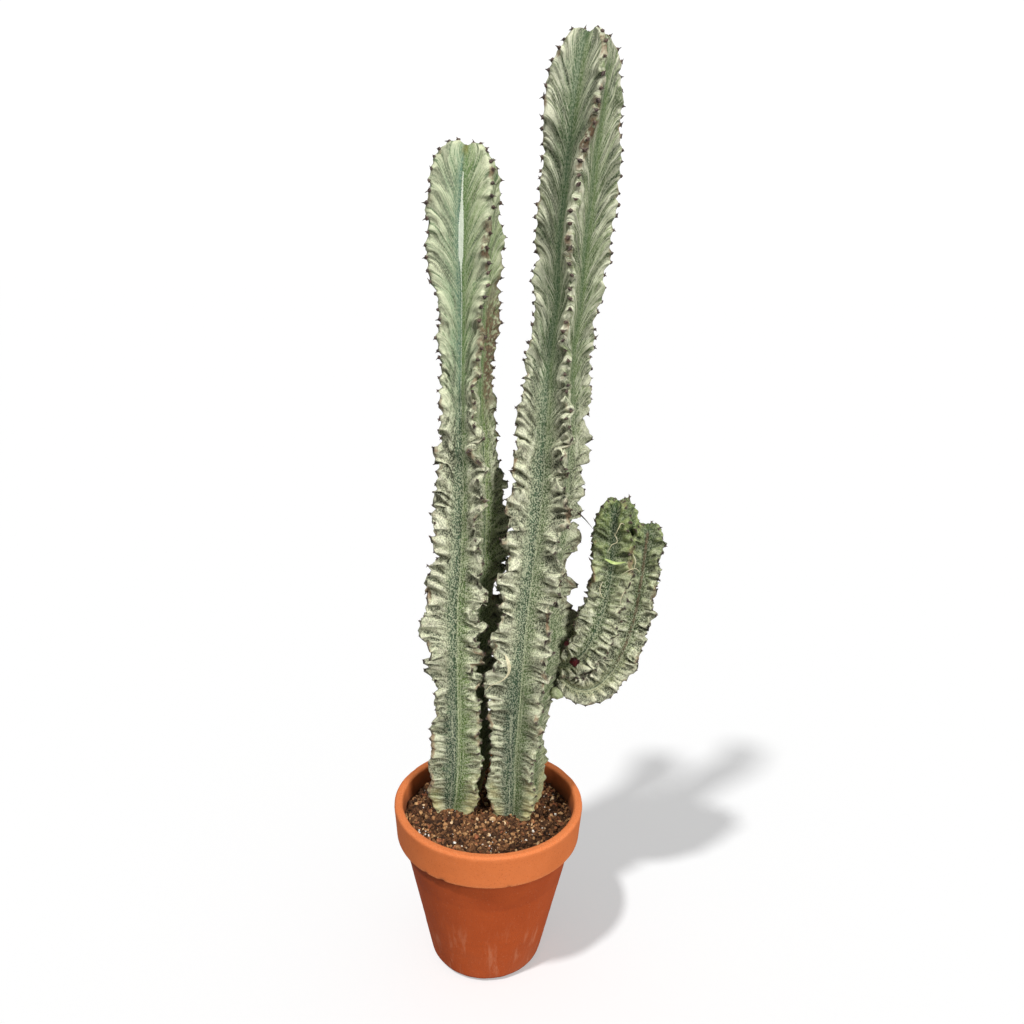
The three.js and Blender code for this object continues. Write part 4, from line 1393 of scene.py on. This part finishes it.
# %% Turn the profile, dent it and chip its edges
POT_SEGMENTS = 300
radii, heights = profile[:-1, 0], profile[:-1, 1]
around = np.linspace(0, 2 * math.pi, POT_SEGMENTS, endpoint=False)
grid_turn, grid_radius = np.meshgrid(around, radii)
grid_height = np.broadcast_to(heights[:, None], grid_turn.shape)
outer_rows = (np.arange(len(radii)) < np.argmax(heights)).astype(float)
outside = np.broadcast_to(outer_rows[:, None], grid_turn.shape)
slow = wander(grid_turn * NOISE_CELLS / (4 * math.pi), grid_height / 26, 301)
quick = wander(grid_turn * NOISE_CELLS / math.pi * 1.5, grid_height / 5, 302)
uneven = 0.22 * slow + 0.1 * quick + 0.1 * wander(0.5, grid_height / 3.2, 303)

# Chips: the bearing in degrees, the height, the size and the depth of each.
CHIPS = ((-116, COLLAR_FOOT + 0.5, 3.2, 1.4), (-128, COLLAR_FOOT + 0.5, 2.4, 1.1),
         (-76, COLLAR_FOOT + 0.5, 2.0, 0.9), (-97, POT_HEIGHT - 1, 2.5, 0.8),
         (20, COLLAR_FOOT + 1, 4.0, 1.6), (150, POT_HEIGHT - 1, 3.5, 1.1), (95, COLLAR_FOOT + 1, 3.0, 1.2))
chipped = np.zeros_like(grid_turn)
for chip_turn, chip_height, chip_size, chip_depth in CHIPS:
    swing = (grid_turn - math.radians(chip_turn) + math.pi) % (2 * math.pi) - math.pi
    away = np.hypot(swing * grid_radius, grid_height - chip_height) / chip_size
    away += 0.35 * wander(grid_turn * 40, grid_height / 2, 310)
    chipped = np.maximum(chipped, ease(1.1, 0.4, away) * chip_depth)
chipped *= outside
real_radius = grid_radius + uneven - chipped * 0.7
rows = len(radii)
index = np.arange(rows * POT_SEGMENTS).reshape(rows, POT_SEGMENTS)
beside, above = np.roll(index, -1, axis=1), np.roll(index, -1, axis=0)
faces = np.stack((index, beside, np.roll(beside, -1, axis=0), above), axis=-1).reshape(-1, 4).tolist()
points = np.stack((real_radius * np.cos(grid_turn), real_radius * np.sin(grid_turn),
                   grid_height + chipped * 0.3 + 0.12 * slow * (heights[:, None] > 20)), axis=-1)
pot = make_piece("clay_pot", points.reshape(-1, 3), faces, clay)
edge_wear = np.maximum.reduce([
    ease(5, 1, np.abs(grid_height - POT_HEIGHT)) * 0.7,
    ease(4, 0.5, np.abs(grid_height - COLLAR_FOOT)) * outside,
    ease(0.1, 0.8, chipped)])
store(pot, "worn", edge_wear)
store(pot, "inside", (1 - outside) * ease(FLOOR_THICKNESS, FLOOR_THICKNESS + 8, grid_height))
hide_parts("pot")
print("pot:", len(faces), "faces, lip", round(float(points[..., 2].max()), 1), "mm high")

# %% [markdown]
# ## Potting mix
# The mix is dark crumbs of peat and bark, with reddish and tan bits and white perlite. A bed gives the
# lumpy ground, and thousands of loose crumbs lie on it. A displaced disc alone would look like mud,
# since crumbs have undersides and cast small shadows.

# %% Crumb, bark and perlite materials
crumb_paint, nodes, skin = new_material("potting_soil")
place = nodes.place()
cloud = nodes.use(grime, Place=place, Scale=60.0)
cloudy = nodes.times(nodes.minus(cloud["Cloud"], 0.5), 0.5)
tone = nodes.plus(nodes.times(nodes.stored("tone"), 0.8), cloudy)
colour = nodes.ramp(tone, (
    (0.0, paint(52, 34, 22)), (0.22, paint(92, 62, 40)), (0.45, paint(146, 100, 64)),
    (0.62, paint(184, 136, 90)), (0.8, paint(212, 168, 116)), (0.95, paint(232, 200, 156))))
damp = fleck(nodes, place, 500.0, 0.45)
nodes.feed(skin["Base Color"], nodes.mix(nodes.times(damp, 0.25), colour, paint(66, 40, 26)))
nodes.feed(skin["Roughness"], nodes.plus(0.78, nodes.times(cloud["Grain"], 0.2)))
nodes.feed(skin["Normal"], nodes.bump(nodes.plus(cloud["Grain"], nodes.times(damp, 0.5)), 0.001, 0.8))
skin["Specular IOR Level"].default_value = 0.25

bark_paint, nodes, skin = new_material("bark")
place = nodes.place()
fibre = nodes.noise(nodes.stretch(place, 1.0, 0.25, 1.0), 420.0, 3.0, 0.6, 1.0)
colour = nodes.ramp(fibre, ((0.3, paint(70, 38, 24)), (0.5, paint(128, 74, 44)), (0.7, paint(176, 116, 72))))
warm = nodes.mix(nodes.stored("tone"), colour, paint(150, 82, 44))
nodes.feed(skin["Base Color"], nodes.mix(0.35, colour, warm))
nodes.feed(skin["Roughness"], nodes.plus(0.7, nodes.times(fibre, 0.25)))
nodes.feed(skin["Normal"], nodes.bump(fibre, 0.0008, 0.8))

perlite_paint, nodes, skin = new_material("perlite")
place = nodes.place()
pits = fleck(nodes, place, 1100.0, 0.4)
dust = nodes.use(grime, Place=place, Scale=180.0)
colour = nodes.mix(nodes.times(dust["Patch"], 0.6), paint(236, 232, 220), paint(190, 168, 140))
nodes.feed(skin["Base Color"], nodes.mix(nodes.times(pits, 0.3), colour, paint(150, 132, 112)))
nodes.feed(skin["Roughness"], nodes.plus(0.8, nodes.times(pits, 0.15)))
nodes.feed(skin["Normal"], nodes.bump(pits, -0.0004, 0.8))
print("mix materials:", crumb_paint.name, bark_paint.name, perlite_paint.name)

# %% The bed of soil
SOIL_MOUND = 3.0
SOIL_EDGE = 90.4
SOIL_RINGS = 62
SOIL_TURNS = 190
SOIL_SINK = 2.0
SOIL_LUMPS = ((2.6, 12, 401), (1.8, 5, 402), (0.6, 2.1, 403))
SOIL_FOOT = 118.0
SOIL_FOOT_RADIUS = 80.0


def soil_height(x, y):
    """The lumpy surface of the bed, in millimetres."""
    radius = np.hypot(x, y)
    swell = SOIL_MOUND * (1 - np.clip((radius - 36) / 53, 0, 1))
    lumps = sum(high * wander(x / wide, y / wide, seed) for high, wide, seed in SOIL_LUMPS)
    return SOIL_TOP - SOIL_MOUND + swell + lumps - SOIL_SINK


radius = np.linspace(0, 1, SOIL_RINGS + 1)[1:] * SOIL_EDGE
turns = np.linspace(0, 2 * math.pi, SOIL_TURNS, endpoint=False)
x, y = radius[:, None] * np.cos(turns), radius[:, None] * np.sin(turns)
z = soil_height(x, y)
top = np.stack((x, y, z), axis=-1).reshape(-1, 3)
foot_x, foot_y = SOIL_FOOT_RADIUS * np.cos(turns), SOIL_FOOT_RADIUS * np.sin(turns)
skirt = np.stack((foot_x, foot_y, np.full(SOIL_TURNS, SOIL_FOOT)), axis=-1)
centre_top = np.array([[0, 0, float(soil_height(0, 0))]])
points = np.vstack((top, skirt, centre_top))
index = np.arange((SOIL_RINGS + 1) * SOIL_TURNS).reshape(SOIL_RINGS + 1, SOIL_TURNS)
beside = np.roll(index, -1, axis=1)
faces = np.stack((index[:-1], index[1:], beside[1:], beside[:-1]), axis=-1).reshape(-1, 4).tolist()
faces += [(len(points) - 1, int(index[0, k]), int(beside[0, k])) for k in range(SOIL_TURNS)]
faces.append(tuple(int(k) for k in index[-1][::-1]))
soil_bed = make_piece("soil_bed", points, faces, crumb_paint)
store(soil_bed, "tone", np.append(0.28 + 0.3 * wander(points[:-1, 0] / 4, points[:-1, 1] / 4, 404), 0.3))
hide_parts("soil")
print("soil bed:", len(faces), "faces")

# %% Loose crumbs
CRUMBS = 7600
CRUMB_SMALLEST, CRUMB_SPREAD = 0.65, 2.5
rng = np.random.default_rng(7)


def spot_on_soil(rng, reach):
    """A random place on the bed, no further than reach from its middle."""
    radius = reach * math.sqrt(rng.uniform())
    turn = rng.uniform(0, 2 * math.pi)
    return radius * math.cos(turn), radius * math.sin(turn)


def lump(rng, size, stretch, jag):
    """A jagged lump about its own middle."""
    points = ball_points * (1 + jag * rng.uniform(-1, 1, (len(ball_points), 1)))
    return (points * np.array(stretch) * size) @ random_turn(rng)


lumps = Pile()
for _ in range(CRUMBS):
    x, y = spot_on_soil(rng, SOIL_EDGE - 2)
    size = CRUMB_SMALLEST + CRUMB_SPREAD * rng.uniform() ** 4
    middle = np.array([x, y, float(soil_height(x, y)) + size * 0.35])
    stretch = (1, rng.uniform(0.6, 1), rng.uniform(0.5, 0.9))
    shape = lump(rng, size, stretch, 0.3)
    lumps.add(middle + shape, ball_faces, float(np.clip(rng.normal(0.36, 0.36), 0, 1.15)))
lumps.finish("soil_crumbs", crumb_paint, False)

# %% Bark splinters
BARK_CORNERS = 9
EXTRA_BARK = 120


def splinter(rng, length, width, thickness):
    """A flat, rough splinter lying level, with its middle at the origin."""
    turns = np.linspace(0, 2 * math.pi, BARK_CORNERS, endpoint=False) + rng.uniform(-0.2, 0.2, BARK_CORNERS)
    reach = rng.uniform(0.72, 1.0, BARK_CORNERS)
    ring = np.column_stack((length / 2 * reach * np.cos(turns), width / 2 * reach * np.sin(turns)))
    layers = []
    for share, level in ((0.82, -0.5), (1.0, -0.15), (0.97, 0.2), (0.7, 0.5)):
        rough = rng.uniform(-0.12, 0.12, BARK_CORNERS) * thickness
        layers.append(np.column_stack((ring * share, np.full(BARK_CORNERS, level * thickness) + rough)))
    points = np.vstack((*layers, [[0, 0, -0.5 * thickness], [0, 0, 0.52 * thickness]]))
    faces = ring_faces(4, BARK_CORNERS)
    last = 3 * BARK_CORNERS
    faces += [((k + 1) % BARK_CORNERS, k, 4 * BARK_CORNERS) for k in range(BARK_CORNERS)]
    faces += [(last + k, last + (k + 1) % BARK_CORNERS, 4 * BARK_CORNERS + 1) for k in range(BARK_CORNERS)]
    return points, faces


bark_nodes = sorted(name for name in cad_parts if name.startswith("bark_chip_"))
chips = Pile()
for name in bark_nodes:
    low, high = (from_frame(corner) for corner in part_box(name))
    middle, size = (low + high) / 2, high - low
    points, shape = splinter(rng, size[0] * 0.95, size[1] * 0.95, size[2] * 0.8)
    middle[2] = float(soil_height(middle[0], middle[1])) + size[2] * 0.5
    chips.add(middle + points, shape, rng.uniform())
for _ in range(EXTRA_BARK):
    x, y = spot_on_soil(rng, SOIL_EDGE - 5)
    points, shape = splinter(rng, rng.uniform(3, 9), rng.uniform(1.5, 4.5), rng.uniform(0.8, 2))
    tilt = Matrix.Rotation(rng.uniform(-0.5, 0.5), 3, "X") @ Matrix.Rotation(rng.uniform(0, 6.28), 3, "Z")
    middle = np.array([x, y, float(soil_height(x, y)) + 1.2])
    chips.add(middle + points @ np.array(tilt), shape, rng.uniform())
bark_chips = chips.finish("bark_chips", bark_paint, False)
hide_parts(*bark_nodes)

# %% Perlite grains
EXTRA_PERLITE = 110
perlite_nodes = sorted(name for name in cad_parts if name.startswith("perlite_grain_"))
grains = Pile()
for name in perlite_nodes:
    low, high = (from_frame(corner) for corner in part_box(name))
    middle, size = (low + high) / 2, float((high - low).max()) / 2
    middle[2] = float(soil_height(middle[0], middle[1])) + size * 0.6
    grains.add(middle + lump(rng, size, (1, 0.9, 0.8), 0.14), ball_faces, 1.0)
for _ in range(EXTRA_PERLITE):
    x, y = spot_on_soil(rng, SOIL_EDGE - 4)
    size = rng.uniform(0.5, 1.5)
    middle = np.array([x, y, float(soil_height(x, y)) + size * 0.5])
    grains.add(middle + lump(rng, size, (1, 0.85, 0.75), 0.16), ball_faces, rng.uniform())
perlite_grains = grains.finish("perlite_grains", perlite_paint, True)
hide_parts(*perlite_nodes)

# %% [markdown]
# ## Leaf, dried curl, threads, knob and sap
# A few small things tell this plant from any other: a crescent of fresh leaf between the two heads, a
# dried leaf that curls down the centre stem and ends in a thread, two beads of dark dried sap where the
# branch was once hurt, and a pale knob of an old bud. Each is a ribbon or a lump along a short smooth
# route, so one sweep function makes the ribbons.

# %% Small materials
def plain_finish(name, low, high, speck, rough, relief, scale):
    """A two-tone finish with specks, for small things."""
    material, nodes, skin = new_material(name)
    place = nodes.place()
    cloud = nodes.use(grime, Place=place, Scale=scale)
    specks = fleck(nodes, place, scale * 6, 0.38, 0.08)
    colour = nodes.mix(nodes.ease(cloud["Cloud"], 0.35, 0.65), low, high)
    nodes.feed(skin["Base Color"], nodes.mix(nodes.times(specks, 0.35), colour, speck))
    nodes.feed(skin["Roughness"], nodes.plus(rough, nodes.times(cloud["Grain"], 0.2)))
    nodes.feed(skin["Normal"], nodes.bump(cloud["Grain"], relief, 0.7))
    return material


leaf_green = plain_finish("fresh_leaf", paint(158, 178, 104), paint(190, 202, 134), paint(136, 158, 86),
                          0.35, 0.0002, 150.0)
dry_leaf = plain_finish("dried_leaf", paint(196, 188, 148), paint(224, 216, 182), paint(150, 134, 96),
                        0.6, 0.0004, 200.0)
sap = plain_finish("dried_sap", paint(34, 4, 6), paint(80, 10, 12), paint(20, 4, 6), 0.35, 0.0008, 240.0)
sap.node_tree.nodes["Principled BSDF"].inputs["Specular IOR Level"].default_value = 0.25
print("small finishes:", leaf_green.name, dry_leaf.name, sap.name)


# %% Ribbons
def sweep(route, widths, thicknesses, face_way, samples=28, around_count=12):
    """A ribbon with an oval section along the route, its broad side towards face_way."""
    share = np.linspace(0, 1, samples)
    line = spline([(*p, 0, 0) for p in route], share)[:, :3]
    along = unit(np.gradient(line, axis=0))
    broad = unit(np.cross(along, np.array(face_way, float)))
    thin = np.cross(broad, along)
    width = np.interp(share, np.linspace(0, 1, len(widths)), widths) / 2
    thick = np.interp(share, np.linspace(0, 1, len(thicknesses)), thicknesses) / 2
    turns = np.linspace(0, 2 * math.pi, around_count, endpoint=False)
    cup = (np.cos(turns) ** 2)[None, :, None] * (width[:, None, None] * 0.35) * thin[:, None]
    ring = (np.cos(turns)[None, :, None] * (width[:, None] * broad)[:, None]
            + np.sin(turns)[None, :, None] * (thick[:, None] * thin)[:, None] + cup)
    points = (line[:, None] + ring).reshape(-1, 3)
    faces = ring_faces(samples, around_count)
    first_ring = tuple(range(around_count))
    faces += [first_ring[::-1], tuple(k + (samples - 1) * around_count for k in first_ring)]
    return points, faces


print("a ribbon along a line:", len(sweep([(0, 0, 0), (0, 0, 9)], (1, 1), (1, 1), (0, 1, 0))[1]), "faces")

# %% Leaf and dried curl
TOWARDS_FRONT = (0, -1, 0.2)
CURL_ROUTE = ((14, -27, 363), (17, -30, 357), (18.5, -31, 350), (17, -31, 343), (12, -31, 337),
              (6, -30, 333), (0, -28, 329), (-4, -27, 324))
CURL_WIDTHS = (1.0, 3.4, 3.6, 2.6, 1.4, 1.0, 0.9, 0.7, 0.5)
CURL_THICKNESSES = (0.6, 1.2, 1.2, 0.9, 0.8, 0.7, 0.6, 0.5, 0.4)

leaf = Pile()
leaf.add(*sweep([(111, 10, 452), (121, 7, 448.5), (131, 2, 452)],
                (0.8, 3.6, 4.0, 3.0, 0.6), (0.6, 1.0, 1.0, 0.5), (0, -0.6, 1)))
leaf_piece = leaf.finish("leaf_crescent", leaf_green)
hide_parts("branch_leaf")

curl = Pile()
curl.add(*sweep(CURL_ROUTE, CURL_WIDTHS, CURL_THICKNESSES, TOWARDS_FRONT, 60))
curl_piece = curl.finish("dried_curl", dry_leaf)
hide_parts("dried_leaf_curl")

# %% Dried threads
THREADS = (
    ((118, 2, 478), (121, -1, 486), (124, 1, 492), (128, 4, 490)),
    ((113, 3, 462), (116, 0, 470), (121, -1, 474), (118, 2, 482)),
    ((137, 2, 462), (140, -1, 455), (139, 0, 446), (135, 3, 440)),
    ((128, 3, 438), (134, 0, 444), (141, 1, 446), (146, 4, 441)),
    ((133, 1, 424), (129, -2, 418), (128, 0, 410), (132, 3, 405)),
    ((110, 5, 430), (107, 2, 424), (109, 1, 416), (113, 4, 412)),
)
threads = Pile()
for route in THREADS:
    threads.add(*sweep(route, (0.3, 0.8, 0.7, 0.3), (0.3, 0.6, 0.5, 0.2), TOWARDS_FRONT, 20, 8))
threads.finish("dried_threads", dry_leaf)

# %% Beads of sap
fine_points, fine_faces = ball_shape(3)
for number in (1, 2):
    name = f"sap_bead_{number}"
    low, high = (from_frame(corner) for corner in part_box(name))
    middle, size = (low + high) / 2, (high - low) / 2
    bumpy = wander(fine_points[:, 0] * 3 + 5, fine_points[:, 1] * 3 + fine_points[:, 2] * 4, 500 + number)
    bead = Pile()
    bead.add(middle + fine_points * (0.9 + 0.24 * bumpy[:, None]) * size, fine_faces)
    piece = bead.finish(name + "_drop", sap)
    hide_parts(name)

# %% Old bud and long spine
KNOB_MIDDLE, KNOB_SIZE = np.array([70, 22, 297]), np.array([7.5, 7.0, 6.6])
SPIKE_SEAT, SPIKE_WAY = np.array([83, 18, 497.0]), unit(np.array([15, -2, -11.0]))
SPIKE_BEND, SPIKE_LENGTH, SPIKE_RADIUS = np.array([0, 0, -1.0]), 21, 0.9

knob_points, knob_faces = ball_shape(4)
lobed = 1 + 0.12 * wander(knob_points[:, 0] * 3 + 9, knob_points[:, 2] * 3 + knob_points[:, 1] * 2, 510)
knob = Pile()
knob.add(KNOB_MIDDLE + knob_points * lobed[:, None] * KNOB_SIZE, knob_faces)
knob_skin = plain_finish("old_bud_skin", paint(168, 178, 132), paint(206, 210, 172), paint(120, 132, 92),
                         0.45, 0.0005, 120.0)
knob.finish("old_bud", knob_skin)

spike = Pile()
spike.add(*thorn(SPIKE_SEAT, SPIKE_WAY, SPIKE_BEND, SPIKE_LENGTH, SPIKE_RADIUS))
spike.finish("long_spine", spine_horn)

# %% [markdown]
# ## Size and end
# Both boxes are measured, and how far the looks stand outside the model's box is printed. The
# looks may stand only a little outside the model's box.

# %% Check the size and finish
visual_low, visual_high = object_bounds()
grown = [round((b - a) / MM, 1) for a, b in zip(cad_high, visual_high)]
sunk = [round((b - a) / MM, 1) for a, b in zip(cad_low, visual_low)]
print("beyond the CAD box, in mm: high side", grown, "low side", sunk)
